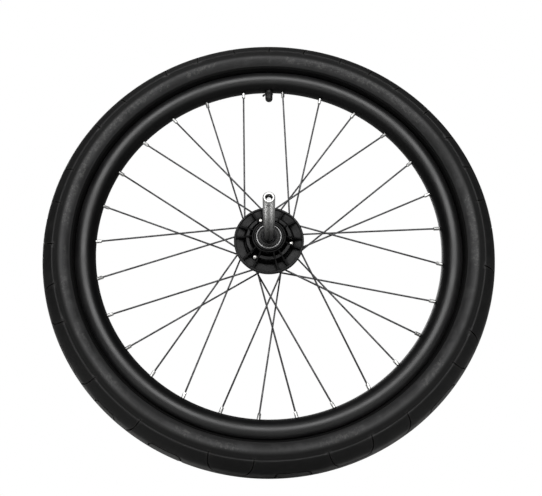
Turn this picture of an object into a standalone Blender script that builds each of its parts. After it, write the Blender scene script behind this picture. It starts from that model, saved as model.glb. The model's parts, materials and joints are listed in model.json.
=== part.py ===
"""Spoked 20-inch trailer wheel with a quick-release stub axle.

The wheel turns about the Y axis and its centre is the origin.  +Z is up and
the stub axle points along -Y, which is the front.  Lengths are in millimetres
and every mesh is written in metres.  "Out" is a distance towards the axle's
tip, so y = -out.  Rim parts measure it from the rim's mid-plane, and hub,
bearing and axle parts measure it from the hub's middle.
"""

import math

import bmesh
import bpy
from mathutils import Matrix, Vector

MILLIMETRE = 0.001

# ---- rim, tape, tube and tyre --------------------------------------------------
TYRE_R = 250.0            # 20 x 1.75 tyre, ETRTO 47-406
TYRE_HALF_W = 23.6
BEAD_SEAT_R = 203.0       # 406 mm bead seat diameter
RIM_FLANGE_R = 210.4
RIM_BED_R = 192.7         # hub side of the spoke bed
RIM_HALF_W = 12.9
RIM_WALL = 2.2
RING_SEGMENTS = 48        # tyre, tube, tape and rim

TAPE_IN_R = 197.7
TAPE_THICKNESS = 0.8
TAPE_HALF_W = 5.2

TUBE_CENTRE_R = 224.6
TUBE_SECTION_R = 16.2
TUBE_WALL = 1.0
TUBE_SIDES = 6            # flats round the tube's section

# ---- valve ---------------------------------------------------------------------
VALVE_DEG = 90.0
VALVE_SIDES = 12
RIM_VALVE_HOLE_R = 4.6
TUBE_VALVE_HOLE_R = 4.4   # tape and tube
STEM_R = 3.9
STEM_NECK_R = 2.6         # inside the cap
STEM_BORE_R = 1.2
CAP_SOCKET_R = 2.95

# ---- spokes and nipples --------------------------------------------------------
SPOKES = 28
SPOKE_PITCH_DEG = 360.0 / SPOKES
SPOKE_R = 1.0
SPOKE_SIDES = 5
SPOKE_HEAD_R = 1.8
SPOKE_HEAD_LENGTH = 1.2
HEAD_GAP = 0.2            # from a flange face to the spoke's head
OUTSIDE_RUN_GAP = 1.6     # from a flange face to a spoke that runs outside it
INSIDE_RUN_GAP = 1.2      # the same for a spoke that runs inside it
# The nipples stand off an even pitch by a lean that swells once round the rim;
# the hub's holes keep the even pitch.
FIRST_SPOKE_DEG = -round(SPOKE_PITCH_DEG / 2, 2)
NIPPLE_LEAN_DEG = 2.4
NIPPLE_SWELL_DEG = 3.6
SWELL_AT_DEG = 185.0
LACING_TURN_DEG = round(4 * SPOKE_PITCH_DEG, 2)  # four spoke pitches: two crossings
FLANGE_TWIST_DEG = round(SPOKE_PITCH_DEG, 2)     # half of one flange's hole pitch
NIPPLE_R = 2.0
NIPPLE_HEAD_R = 3.0
NIPPLE_TIP_R = 185.6      # wheel radius at which the nipple starts
NIPPLE_SEAT_R = 195.2
NIPPLE_SHOULDER_R = NIPPLE_SEAT_R + 0.4
NIPPLE_END_R = 196.4
NIPPLE_HOLE_R = NIPPLE_R + 0.5
DRILL_OVERRUN = 3.0       # nipple drills reach past the bed and the nipple by this

# ---- hub core ------------------------------------------------------------------
HUB_MID = -5.5            # the hub's middle lies behind the rim's mid-plane
HUB_SEGMENTS = 28         # core and covers
FLANGE_FRONT = (10.6, 7.4)
FLANGE_REAR = (-13.9, -17.1)
FLANGE_FRONT_R = 31.8
FLANGE_REAR_R = 29.2
FRONT_HOLE_R = 28.2       # hub radius of the spoke holes
REAR_HOLE_R = 26.5
SPOKE_HOLE_R = SPOKE_R + 0.35
BARREL_R = 16.4
CORE_MIDDLE_R = 19.0      # between the flanges
CORE_BORE_R = 11.6

# ---- covers and their screws ---------------------------------------------------
COVER_FLOOR = 15.4        # outer face of the front cover's plate
COVER_TOP = 29.2          # end of either cover's boss
COVER_BORE_R = BARREL_R + 0.3
COVER_BOSS_R = COVER_BORE_R + 1.6
RIB_HALF_THICKNESS = 0.7
WALL_IN_R = 21.2
WALL_OUT_R = 24.8
WALL_STEP_DEG = 12.0
SCREW_CIRCLE_R = 24.6
SCREW_DEG = (112.0, 232.0, 352.0)
CORE_SCREW_HOLE_R = 1.75
COVER_SCREW_HOLE_R = 1.9
FRONT_RIB_DEG = (2, 36, 63, 102, 121, 154, 176, 219, 242, 286, 305, 343)
REAR_RIB_DEG = [60.0 * i for i in range(6)]
# Curved walls join neighbouring ribs that have no screw between them.
WALL_SECTORS = [
    (start, stop) for start, stop in zip(FRONT_RIB_DEG, FRONT_RIB_DEG[1:])
    if not any(start < screw < stop for screw in SCREW_DEG)
]

# ---- axle ----------------------------------------------------------------------
AXLE_R = 6.0              # 12 mm stub axle
AXLE_BORE_R = 3.25
AXLE_TIP = 137.7
AXLE_SEGMENTS = 20
AXLE_HEAD_R = 10.2
CUP_R = 8.8               # hollow in the axle's head
CUP_LIP_R = 7.7
CUP_FLOOR = -34.0
CUP_LIP = -43.2
CUP_END = CUP_LIP - 1.0
SPRING_BORE_R = 4.9
SPRING_SEAT = -16.0

# ---- bearings ------------------------------------------------------------------
BEARING_BORE_R = AXLE_R   # 6001: 12 x 28 x 8
BEARING_OUTER_R = 14.0
BEARING_W = 8.0
BEARING_FACE = 30.0       # outer face of either bearing
BEARING_BACK = BEARING_FACE - BEARING_W
BEARING_MID = BEARING_FACE - BEARING_W / 2
BEARING_SEGMENTS = 22
OUTER_RACE_IN_R = 11.9
INNER_RACE_OUT_R = 8.1
RACEWAY_DEPTH = 1.0
RACEWAY_HALF_W = 1.6
BALLS = 7
BALL_PITCH_R = 10.0
BEARING_BALL_R = 2.2
CAGE_HALF_THICKNESS = 0.5
CAGE_HALF_W = 0.7
SEAT_GAP = 0.15           # outer race to hub
BORE_GAP = 0.12           # inner race to axle
END_GAP = 0.3             # bearing faces to seat, clip and axle head
SEAT_R = BEARING_OUTER_R + SEAT_GAP
SEAT_FLOOR = BEARING_BACK - END_GAP
SPACER_R = 8.0

CLIP_BACK = BEARING_FACE + END_GAP
CLIP_FRONT = CLIP_BACK + 1.0
CLIP_SEGMENTS = 24
AXLE_HEAD = -BEARING_FACE - END_GAP   # the head's thrust face

# ---- release -------------------------------------------------------------------
LOCK_BALL_OUT = AXLE_TIP - 6.6
LOCK_BALL_R = 2.0
LOCK_BALL_CENTRE_R = 4.73
LOCK_BALL_TRAVEL = 1.2
PUSH_TRAVEL = 4.5         # button and rod, towards the axle's tip
ROD_HEAD_R = 2.7
ROD_R = 1.2
ROD_TIP = AXLE_TIP - 5.0  # the rod's end at rest stands inside the axle
ROD_BACK = -44.7
SPRING_R = 4.0
SPRING_WIRE_R = 0.45
SPRING_TURNS = 5
POINTS_PER_TURN = 9
SPRING_FRONT = SPRING_SEAT - 0.7
SPRING_BACK = -35.6

SMOOTH_ANGLE_DEG = 35     # edges sharper than this stay crisp

# name: (base colour, roughness, metallic)
MATERIALS = {
    "tyre_rubber": ((0.030, 0.030, 0.031), 0.62, 0.0),
    "tube_rubber": ((0.045, 0.045, 0.047), 0.55, 0.0),
    "rim_tape": ((0.10, 0.10, 0.10), 0.7, 0.0),
    "rim_paint": ((0.022, 0.022, 0.023), 0.33, 0.0),
    "valve_rubber": ((0.030, 0.030, 0.030), 0.6, 0.0),
    "valve_plastic": ((0.035, 0.035, 0.035), 0.45, 0.0),
    "spoke_steel": ((0.20, 0.20, 0.21), 0.35, 1.0),
    "hub_plastic": ((0.028, 0.028, 0.029), 0.42, 0.0),
    "zinc": ((0.72, 0.71, 0.68), 0.3, 1.0),
    "race_steel": ((0.70, 0.70, 0.70), 0.18, 1.0),
    "seal_rubber": ((0.03, 0.03, 0.03), 0.6, 0.0),
    "axle_steel": ((0.62, 0.62, 0.61), 0.25, 1.0),
    "clip_steel": ((0.06, 0.06, 0.06), 0.4, 1.0),
    "spring_steel": ((0.45, 0.45, 0.46), 0.3, 1.0),
    "button_plastic": ((0.05, 0.05, 0.05), 0.4, 0.0),
}


# ---- materials, objects --------------------------------------------------------
def material(name):
    found = bpy.data.materials.get(name)
    if found:
        return found
    colour, roughness, metallic = MATERIALS[name]
    made = bpy.data.materials.new(name)
    made.use_nodes = True
    shader = made.node_tree.nodes["Principled BSDF"]
    shader.inputs["Base Color"].default_value = (*colour, 1.0)
    shader.inputs["Roughness"].default_value = roughness
    shader.inputs["Metallic"].default_value = metallic
    made.diffuse_color = (*colour, 1.0)
    return made


def linked(name, data):
    obj = bpy.data.objects.new(name, data)
    bpy.context.scene.collection.objects.link(obj)
    return obj


class Section:
    """Makes objects of shapes whose out = 0 lies at the section's middle."""

    def __init__(self, middle):
        self.middle = middle

    def place(self, name, shape):
        bmesh.ops.translate(shape, verts=shape.verts, vec=(0.0, -self.middle, 0.0))
        bmesh.ops.scale(shape, verts=shape.verts, vec=(MILLIMETRE,) * 3)
        bmesh.ops.recalc_face_normals(shape, faces=shape.faces)
        mesh = bpy.data.meshes.new(name)
        shape.to_mesh(mesh)
        shape.free()
        return linked(name, mesh)

    def part(self, name, shape, material_name, parent):
        obj = self.place(name, shape)
        obj.data.materials.append(material(material_name))
        obj.data.shade_smooth()
        obj.data.set_sharp_from_angle(angle=math.radians(SMOOTH_ANGLE_DEG))
        obj.parent = parent
        return obj

    def combine(self, obj, helper_name, shape, operation):
        helper = self.place(helper_name, shape)
        helper.hide_render = True
        helper.display_type = "WIRE"
        modifier = obj.modifiers.new(f"{operation.lower()}_{helper.name}", "BOOLEAN")
        modifier.operation = operation
        modifier.solver = "EXACT"
        modifier.object = helper

    def cut(self, obj, helper_name, shape):
        self.combine(obj, helper_name, shape, "DIFFERENCE")

    def join(self, obj, helper_name, shape):
        self.combine(obj, helper_name, shape, "UNION")


# ---- shapes --------------------------------------------------------------------
def polar(radius, degrees, out):
    angle = math.radians(degrees)
    return Vector((radius * math.cos(angle), -out, radius * math.sin(angle)))


def directions(degrees):
    """The radial and the tangential unit vectors at a direction."""
    angle = math.radians(degrees)
    cosine, sine = math.cos(angle), math.sin(angle)
    return Vector((cosine, 0.0, sine)), Vector((-sine, 0.0, cosine))


def turned_loops(shape, profile, segments):
    return [
        [shape.verts.new(polar(radius, 360.0 * i / segments, out)) for radius, out in profile]
        for i in range(segments)
    ]


def bridge(shape, loop, following):
    """Quads between two closed loops of vertices."""
    for i in range(len(loop)):
        j = (i + 1) % len(loop)
        shape.faces.new((loop[i], loop[j], following[j], following[i]))


def ring(profile, segments):
    """A closed profile of (radius, out) points turned once round the Y axis."""
    shape = bmesh.new()
    loops = turned_loops(shape, profile, segments)
    for i in range(segments):
        bridge(shape, loops[i], loops[(i + 1) % segments])
    return shape


def turned(profile, segments):
    """An open profile that starts and ends on the Y axis, turned to a solid."""
    shape = bmesh.new()
    first = shape.verts.new((0.0, -profile[0][1], 0.0))
    last = shape.verts.new((0.0, -profile[-1][1], 0.0))
    loops = turned_loops(shape, profile[1:-1], segments)
    for i in range(segments):
        loop, following = loops[i], loops[(i + 1) % segments]
        shape.faces.new((first, loop[0], following[0]))
        for j in range(len(loop) - 1):
            shape.faces.new((loop[j], loop[j + 1], following[j + 1], following[j]))
        shape.faces.new((loop[-1], last, following[-1]))
    return shape


def mirrored(profile):
    """Adds the other half of a profile that is symmetrical about out = 0."""
    return profile + [(radius, -out) for radius, out in reversed(profile) if out > 1e-6]


def facing(profile, sign):
    """Turns a front-facing profile to the rear where sign is -1."""
    return [(radius, sign * out) for radius, out in profile]


def band(in_r, out_r, high, low):
    """A rectangular profile."""
    return [(in_r, high), (out_r, high), (out_r, low), (in_r, low)]


def path_tangents(path):
    """The mean direction at each point; steps of no length are passed over."""
    tangents = []
    for i in range(len(path)):
        tangent = Vector((0, 0, 0))
        for start, end in zip(path[max(i - 1, 0):i + 1], path[max(i - 1, 0) + 1:i + 2]):
            if (end - start).length > 1e-6:
                tangent += (end - start).normalized()
        tangents.append(tangent.normalized())
    return tangents


def sweep(path, radii, sides, shape=None):
    """A round bar along a path, with its own radius at each point."""
    shape = shape or bmesh.new()
    tangents = path_tangents(path)
    side = tangents[0].orthogonal().normalized()
    loops = []
    for point, tangent, radius in zip(path, tangents, radii):
        side = (side - tangent * side.dot(tangent)).normalized()
        up = tangent.cross(side)
        loops.append([
            shape.verts.new(
                point
                + side * radius * math.cos(2 * math.pi * i / sides)
                + up * radius * math.sin(2 * math.pi * i / sides)
            )
            for i in range(sides)
        ])
    for loop, following in zip(loops, loops[1:]):
        bridge(shape, loop, following)
    shape.faces.new(list(reversed(loops[0])))
    shape.faces.new(loops[-1])
    return shape


def bar(start, end, radius, sides, shape=None):
    return sweep([start, end], [radius, radius], sides, shape)


def slab(corners, direction, half_thickness):
    """A flat plate: a polygon of points, thickened to each side."""
    shape = bmesh.new()
    offset = direction.normalized() * half_thickness
    low = [shape.verts.new(corner - offset) for corner in corners]
    high = [shape.verts.new(corner + offset) for corner in corners]
    shape.faces.new(list(reversed(low)))
    shape.faces.new(high)
    bridge(shape, low, high)
    return shape


def arc_wall(profile, start, stop, step):
    """A closed profile turned between two directions in degrees."""
    shape = bmesh.new()
    steps = math.ceil((stop - start) / step)
    loops = []
    for i in range(steps + 1):
        degrees = start + (stop - start) * i / steps
        loops.append([shape.verts.new(polar(radius, degrees, out)) for radius, out in profile])
    for loop, following in zip(loops, loops[1:]):
        bridge(shape, loop, following)
    shape.faces.new(loops[0])
    shape.faces.new(list(reversed(loops[-1])))
    return shape


def ball(centre, radius, segments):
    shape = bmesh.new()
    bmesh.ops.create_uvsphere(
        shape, u_segments=segments, v_segments=6, radius=radius,
        matrix=Matrix.Translation(centre),
    )
    return shape


# ---- spokes --------------------------------------------------------------------
def lacing(spoke):
    """Nipple direction, hub hole direction, on the front flange?, leading?"""
    front = spoke % 2 == 0
    leading = spoke % 4 in (0, 1)
    even = FIRST_SPOKE_DEG + SPOKE_PITCH_DEG * spoke
    swell = NIPPLE_SWELL_DEG * math.cos(math.radians(even - SWELL_AT_DEG))
    nipple = even + NIPPLE_LEAN_DEG + swell
    hole = even + (FLANGE_TWIST_DEG if front else -FLANGE_TWIST_DEG)
    hole += LACING_TURN_DEG if leading else -LACING_TURN_DEG
    return nipple, hole, front, leading


def spoke_points(spoke):
    """Hub and rim ends of a spoke's straight run, then its head's two ends.

    Leading spokes run outside their flange, the others inside it.
    """
    nipple, hole, front, leading = lacing(spoke)
    outer, inner = FLANGE_FRONT if front else FLANGE_REAR[::-1]
    sign = 1.0 if front else -1.0
    hole_r = FRONT_HOLE_R if front else REAR_HOLE_R
    if leading:
        run, head = outer + sign * OUTSIDE_RUN_GAP, inner - sign * HEAD_GAP
    else:
        run, head = inner - sign * INSIDE_RUN_GAP, outer + sign * HEAD_GAP
    away = 1.0 if head > run else -1.0
    hub, seat, top = (
        polar(hole_r, hole, HUB_MID + out)
        for out in (run, head, head + away * SPOKE_HEAD_LENGTH)
    )
    return hub, polar(NIPPLE_END_R, nipple, 0.0), seat, top


def at_radius(start, end, radius):
    """The point on the line start-end at this distance from the wheel's axis."""
    step = end - start
    square = step.x * step.x + step.z * step.z
    linear = 2 * (start.x * step.x + start.z * step.z)
    constant = start.x * start.x + start.z * start.z - radius * radius
    root = math.sqrt(linear * linear - 4 * square * constant)
    return start + step * ((root - linear) / (2 * square))


def build_spoke(spoke):
    """A spoke with its head, elbow and nipple."""
    hub, rim, seat, top = spoke_points(spoke)
    tip = at_radius(hub, rim, NIPPLE_TIP_R)
    shoulder = at_radius(hub, rim, NIPPLE_SHOULDER_R)
    stations = [
        (top, SPOKE_HEAD_R),
        (seat, SPOKE_HEAD_R),
        (seat, SPOKE_R),
        (hub + (seat - hub).normalized() * 0.3, SPOKE_R),
        (hub + (rim - hub).normalized() * 0.7, SPOKE_R),
        (tip, SPOKE_R),
        (tip, NIPPLE_R),
        (shoulder, NIPPLE_R),
        (shoulder, NIPPLE_HEAD_R),
        (rim, NIPPLE_HEAD_R),
    ]
    path, radii = zip(*stations)
    RIM.part(f"spoke_{spoke + 1:02d}", sweep(path, radii, SPOKE_SIDES), "spoke_steel", WHEEL)


# ---- rim, tape, tube and tyre --------------------------------------------------
def valve_bar(start_r, end_r, radius, sides=VALVE_SIDES, shape=None):
    """A bar along the valve's axis, between two wheel radii."""
    return bar(polar(start_r, VALVE_DEG, 0), polar(end_r, VALVE_DEG, 0), radius, sides, shape)


def build_rim():
    # (radius, out), from the tyre side over the flange to the hub side
    profile = mirrored([
        (RIM_BED_R + RIM_WALL, 5.6),
        (BEAD_SEAT_R - 0.6, 8.4),
        (BEAD_SEAT_R, 11.0),
        (RIM_FLANGE_R, 11.0),
        (RIM_FLANGE_R - 1.0, RIM_HALF_W),
        (RIM_FLANGE_R - 7.6, RIM_HALF_W),
        (RIM_BED_R + 4.2, 11.2),
        (RIM_BED_R + 1.0, 7.4),
        (RIM_BED_R, 0.0),
    ])
    rim = RIM.part("rim", ring(profile, RING_SEGMENTS), "rim_paint", WHEEL)
    drill_start_r = RIM_BED_R - DRILL_OVERRUN
    drill = bmesh.new()
    for spoke in range(SPOKES):
        hub, end, _, _ = spoke_points(spoke)
        past_end = end + (end - hub).normalized() * DRILL_OVERRUN
        bar(at_radius(hub, end, drill_start_r), past_end, NIPPLE_HOLE_R, 6, drill)
    valve_bar(drill_start_r, RIM_BED_R + 5.0, RIM_VALVE_HOLE_R, shape=drill)
    RIM.cut(rim, "cut_rim_holes", drill)


def build_tape():
    profile = band(TAPE_IN_R, TAPE_IN_R + TAPE_THICKNESS, TAPE_HALF_W, -TAPE_HALF_W)
    tape = RIM.part("rim_tape", ring(profile, RING_SEGMENTS), "rim_tape", WHEEL)
    RIM.cut(tape, "cut_tape_valve_hole", valve_bar(190, 204, TUBE_VALVE_HOLE_R))


def tube_ring(section_r):
    corners = [math.radians(30 + 360 / TUBE_SIDES * i) for i in range(TUBE_SIDES)]
    profile = [
        (TUBE_CENTRE_R + section_r * math.cos(angle), section_r * math.sin(angle))
        for angle in corners
    ]
    return ring(profile, RING_SEGMENTS)


def build_tube():
    tube = RIM.part("inner_tube", tube_ring(TUBE_SECTION_R), "tube_rubber", WHEEL)
    RIM.cut(tube, "cut_tube_air_space", tube_ring(TUBE_SECTION_R - TUBE_WALL))
    RIM.cut(tube, "cut_tube_valve_hole", valve_bar(200, 220, TUBE_VALVE_HOLE_R))


def build_tyre():
    # (radius, out), from the tread over the sidewall and bead to the inside
    profile = mirrored([
        (TYRE_R, 0.0),
        (TYRE_R - 4.2, 13.6),
        (TYRE_R - 12.5, 21.2),
        (TYRE_R - 22.0, TYRE_HALF_W),
        (TYRE_R - 31.0, 20.8),
        (RIM_FLANGE_R + 1.6, 13.0),
        (RIM_FLANGE_R + 0.6, 10.5),
        (BEAD_SEAT_R + 0.6, 10.5),
        (BEAD_SEAT_R + 0.6, 7.8),
        (RIM_FLANGE_R, 8.0),
        (TYRE_R - 30.0, 17.4),
        (TYRE_R - 18.0, 18.8),
        (TYRE_R - 8.4, 10.6),
        (TYRE_R - 6.4, 0.0),
    ])
    RIM.part("tyre", ring(profile, RING_SEGMENTS), "tyre_rubber", WHEEL)


# ---- valve ---------------------------------------------------------------------
def valve_sweep(stations):
    """A round body along the valve's axis, from (wheel radius, own radius)."""
    path = [polar(wheel_r, VALVE_DEG, 0) for wheel_r, _ in stations]
    return sweep(path, [own_r for _, own_r in stations], VALVE_SIDES)


def build_valve():
    stem_stations = [
        (212.0, STEM_R), (200.4, STEM_R), (200.4, STEM_R), (188.4, STEM_R),
        (188.4, STEM_NECK_R), (182.4, STEM_NECK_R),
    ]
    stem = RIM.part("valve_stem", valve_sweep(stem_stations), "valve_rubber", WHEEL)
    RIM.cut(stem, "cut_valve_bore", valve_bar(214, 180, STEM_BORE_R, sides=8))
    cap_stations = [(188.0, 4.3), (182.2, 4.3), (180.2, 3.4), (179.0, 1.8)]
    cap = RIM.part("valve_cap", valve_sweep(cap_stations), "valve_plastic", WHEEL)
    RIM.cut(cap, "cut_valve_cap_socket", valve_bar(190, 181.8, CAP_SOCKET_R))


# ---- hub core ------------------------------------------------------------------
def axial_bar(radius, degrees, start, end, bar_r, sides, shape):
    """A bar parallel to the wheel's axis."""
    bar(polar(radius, degrees, start), polar(radius, degrees, end), bar_r, sides, shape)


def build_hub_core():
    # (radius, out), from the front end rearwards and back through the bore
    profile = [
        (SEAT_R, BEARING_FACE),
        (BARREL_R, BEARING_FACE),
        (BARREL_R, FLANGE_FRONT[0]),
        (FLANGE_FRONT_R, FLANGE_FRONT[0]),
        (FLANGE_FRONT_R, FLANGE_FRONT[1]),
        (CORE_MIDDLE_R, FLANGE_FRONT[1]),
        (CORE_MIDDLE_R, FLANGE_REAR[0]),
        (FLANGE_REAR_R, FLANGE_REAR[0]),
        (FLANGE_REAR_R, FLANGE_REAR[1]),
        (BARREL_R, FLANGE_REAR[1]),
        (BARREL_R, -BEARING_FACE),
        (SEAT_R, -BEARING_FACE),
        (SEAT_R, -SEAT_FLOOR),
        (CORE_BORE_R, -SEAT_FLOOR),
        (CORE_BORE_R, SEAT_FLOOR),
        (SEAT_R, SEAT_FLOOR),
    ]
    core = HUB.part("hub_core", ring(profile, HUB_SEGMENTS), "hub_plastic", WHEEL)
    drill = bmesh.new()
    for spoke in range(SPOKES):
        _, hole, front, _ = lacing(spoke)
        hole_r = FRONT_HOLE_R if front else REAR_HOLE_R
        high, low = FLANGE_FRONT if front else FLANGE_REAR
        axial_bar(hole_r, hole, high + 1, low - 1, SPOKE_HOLE_R, 6, drill)
    high, low = FLANGE_FRONT
    for degrees in SCREW_DEG:
        axial_bar(SCREW_CIRCLE_R, degrees, high + 1, low - 1, CORE_SCREW_HOLE_R, 8, drill)
    HUB.cut(core, "cut_hub_holes", drill)


# ---- ribbed covers -------------------------------------------------------------
def build_ribbed_cover(name, sign, outer_r, back, floor, lip, ribs):
    """A round plate with a rim lip, a raised boss round the barrel and radial
    ribs that fall from the boss to the lip."""
    profile = [
        (COVER_BORE_R, back),
        (COVER_BORE_R, COVER_TOP),
        (COVER_BOSS_R, COVER_TOP),
        (COVER_BOSS_R + 0.5, floor),
        (outer_r - 2.2, floor),
        (outer_r - 1.9, lip),
        (outer_r - 0.6, lip),
        (outer_r, lip - 1.0),
        (outer_r, back),
    ]
    shape = ring(facing(profile, sign), HUB_SEGMENTS)
    cover = HUB.part(name, shape, "hub_plastic", WHEEL)
    rib_in_r, rib_out_r = COVER_BORE_R + 0.8, outer_r - 1.2
    rib_outline = facing([
        (rib_in_r, back + 0.7),
        (rib_out_r, back + 0.7),
        (rib_out_r, lip - 0.3),
        (rib_in_r, COVER_TOP - 0.8),
    ], sign)
    for number, degrees in enumerate(ribs, start=1):
        corners = [polar(radius, degrees, out) for radius, out in rib_outline]
        _, across = directions(degrees)
        rib = slab(corners, across, RIB_HALF_THICKNESS)
        HUB.join(cover, f"add_{name}_rib_{number:02d}", rib)
    return cover


def build_front_cover():
    """The large cover, with curved walls between its ribs and screw holes."""
    name, back = "hub_cover_front", 13.7
    cover = build_ribbed_cover(name, sign=1.0, outer_r=38.5, back=back, floor=COVER_FLOOR,
                               lip=17.8, ribs=FRONT_RIB_DEG)
    wall_top = COVER_FLOOR + (COVER_TOP - COVER_FLOOR) * 0.62
    profile = [
        (WALL_IN_R, back + 0.9), (WALL_OUT_R, back + 0.9),
        (WALL_OUT_R, wall_top), (WALL_IN_R, wall_top),
    ]
    for number, (start, stop) in enumerate(WALL_SECTORS, start=1):
        wall = arc_wall(profile, start, stop, WALL_STEP_DEG)
        HUB.join(cover, f"add_{name}_wall_{number:02d}", wall)
    drill = bmesh.new()
    for degrees in SCREW_DEG:
        axial_bar(SCREW_CIRCLE_R, degrees, COVER_TOP + 5, back - 2, COVER_SCREW_HOLE_R, 8, drill)
    HUB.cut(cover, f"cut_{name}_screw_holes", drill)


def build_rear_cover():
    build_ribbed_cover("hub_cover_rear", sign=-1.0, outer_r=23.6, back=17.5, floor=19.3,
                       lip=21.0, ribs=REAR_RIB_DEG)


def build_cover_screw(label, degrees):
    """A screw with a cross recess, standing in the front cover."""
    # (out, radius), from the head's top to the point
    stations = [
        (COVER_FLOOR + 2.5, 1.8), (COVER_FLOOR + 2.0, 2.5), (COVER_FLOOR + 0.25, 2.6),
        (COVER_FLOOR + 0.25, 1.45), (6.2, 1.45), (5.0, 0.6),
    ]
    path = [polar(SCREW_CIRCLE_R, degrees, out) for out, _ in stations]
    shape = sweep(path, [radius for _, radius in stations], 12)
    screw = HUB.part(f"cover_screw_{label}", shape, "zinc", WHEEL)
    slot_half_length, slot_half_width = 1.5, 0.35
    middle = polar(SCREW_CIRCLE_R, degrees, COVER_FLOOR + 2.9)
    deep = Vector((0, 1.5, 0))
    radial, across = directions(degrees)
    for turn, (along, aside) in enumerate(((radial, across), (across, radial))):
        start = middle - along * slot_half_length
        end = middle + along * slot_half_length
        slot = slab([start, end, end + deep, start + deep], aside, slot_half_width)
        HUB.cut(screw, f"cut_screw_{label}_slot_{turn}", slot)


# ---- bearings ------------------------------------------------------------------
def race(flat_r, groove_r):
    """The grooved side of a race, from the bearing's back to its face."""
    return [
        (flat_r, BEARING_BACK),
        (flat_r, BEARING_MID - RACEWAY_HALF_W),
        (groove_r, BEARING_MID),
        (flat_r, BEARING_MID + RACEWAY_HALF_W),
        (flat_r, BEARING_FACE),
    ]


def build_bearing(label, sign):
    outer = [
        (BEARING_OUTER_R, BEARING_FACE - 0.3),
        (BEARING_OUTER_R, BEARING_BACK),
        *race(OUTER_RACE_IN_R, OUTER_RACE_IN_R + RACEWAY_DEPTH),
        (BEARING_OUTER_R - 0.3, BEARING_FACE),
    ]
    inner = [
        (BEARING_BORE_R + BORE_GAP, BEARING_FACE),
        (BEARING_BORE_R + BORE_GAP, BEARING_BACK),
        *race(INNER_RACE_OUT_R, INNER_RACE_OUT_R - RACEWAY_DEPTH),
    ]
    seal = band(8.5, 11.75, BEARING_FACE - 0.5, BEARING_FACE - 1.3)
    cage = band(BALL_PITCH_R - CAGE_HALF_THICKNESS, BALL_PITCH_R + CAGE_HALF_THICKNESS,
                BEARING_MID + CAGE_HALF_W, BEARING_MID - CAGE_HALF_W)

    def bearing_part(name, profile, material_name, parent):
        shape = ring(facing(profile, sign), BEARING_SEGMENTS)
        return HUB.part(f"bearing_{label}_{name}", shape, material_name, parent)

    bearing_part("outer_race", outer, "race_steel", WHEEL)
    bearing_part("inner_race", inner, "race_steel", AXLE)
    bearing_part("seal", seal, "seal_rubber", WHEEL)
    balls = bearing_part("balls", cage, "race_steel", AXLE)
    for i in range(BALLS):
        centre = polar(BALL_PITCH_R, 360.0 * i / BALLS, sign * BEARING_MID)
        HUB.join(balls, f"add_ball_{label}_{i}", ball(centre, BEARING_BALL_R, segments=6))


def build_bearing_spacer():
    profile = band(BEARING_BORE_R + BORE_GAP, SPACER_R, SEAT_FLOOR, -SEAT_FLOOR)
    HUB.part("bearing_spacer", ring(profile, BEARING_SEGMENTS), "axle_steel", AXLE)


# ---- axle ----------------------------------------------------------------------
def build_axle_tube():
    groove_front, groove_back = CLIP_FRONT + 0.15, CLIP_BACK - 0.15
    groove_r = AXLE_R - 0.6
    # (radius, out), from the tip to the head and back through the bore
    profile = [
        (AXLE_BORE_R, AXLE_TIP),
        (AXLE_R - 1.0, AXLE_TIP),
        (AXLE_R, AXLE_TIP - 1.2),
        (AXLE_R, groove_front),
        (groove_r, groove_front),
        (groove_r, groove_back),
        (AXLE_R, groove_back),
        (AXLE_R, AXLE_HEAD),
        (AXLE_HEAD_R, AXLE_HEAD),
        (AXLE_HEAD_R, CUP_END),
        (CUP_LIP_R, CUP_END),
        (CUP_LIP_R, CUP_LIP),
        (CUP_R, CUP_LIP),
        (CUP_R, CUP_FLOOR),
        (SPRING_BORE_R, CUP_FLOOR),
        (SPRING_BORE_R, SPRING_SEAT),
        (AXLE_BORE_R, SPRING_SEAT),
    ]
    axle = HUB.part("axle_tube", ring(profile, AXLE_SEGMENTS), "axle_steel", AXLE)
    drill = bmesh.new()
    for side in (-1.0, 1.0):
        start = Vector((0, -LOCK_BALL_OUT, side * 2.0))
        end = Vector((0, -LOCK_BALL_OUT, side * 9.0))
        bar(start, end, LOCK_BALL_R + 0.25, 12, drill)
    HUB.cut(axle, "cut_axle_ball_holes", drill)


def build_axle_clip():
    """A clip open at the top; a chamfer leads its front face into the groove."""
    clip_in_r, clip_out_r = AXLE_R - 0.45, AXLE_R + 1.9
    profile = [
        (clip_in_r, CLIP_FRONT - 0.4),
        (AXLE_R + 0.3, CLIP_FRONT),
        (clip_out_r, CLIP_FRONT),
        (clip_out_r, CLIP_BACK),
        (clip_in_r, CLIP_BACK),
    ]
    clip = HUB.part("axle_clip", ring(profile, CLIP_SEGMENTS), "clip_steel", AXLE)
    centre = (0, -(CLIP_FRONT + CLIP_BACK) / 2, 7.0)
    size = (3.4, 3.0, 5.0, 1.0)
    gap = bmesh.new()
    bmesh.ops.create_cube(gap, size=1.0,
                          matrix=Matrix.Translation(centre) @ Matrix.Diagonal(size))
    HUB.cut(clip, "cut_clip_gap", gap)


# ---- release: button, rod, spring and locking balls ----------------------------
def build_release_button():
    socket_r, socket_floor = ROD_R + 0.3, ROD_BACK - 0.3
    # (radius, out), from the rod's socket over the collar to the pressed face
    profile = [
        (0, socket_floor), (socket_r, socket_floor), (socket_r, -36.4), (4.5, -36.4),
        (4.5, -41.4), (8.4, -41.4), (8.4, -42.9), (7.4, -42.9), (7.4, -47.8),
        (6.6, -48.6), (0, -48.6),
    ]
    HUB.part("release_button", turned(profile, 20), "button_plastic", PUSH)


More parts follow.
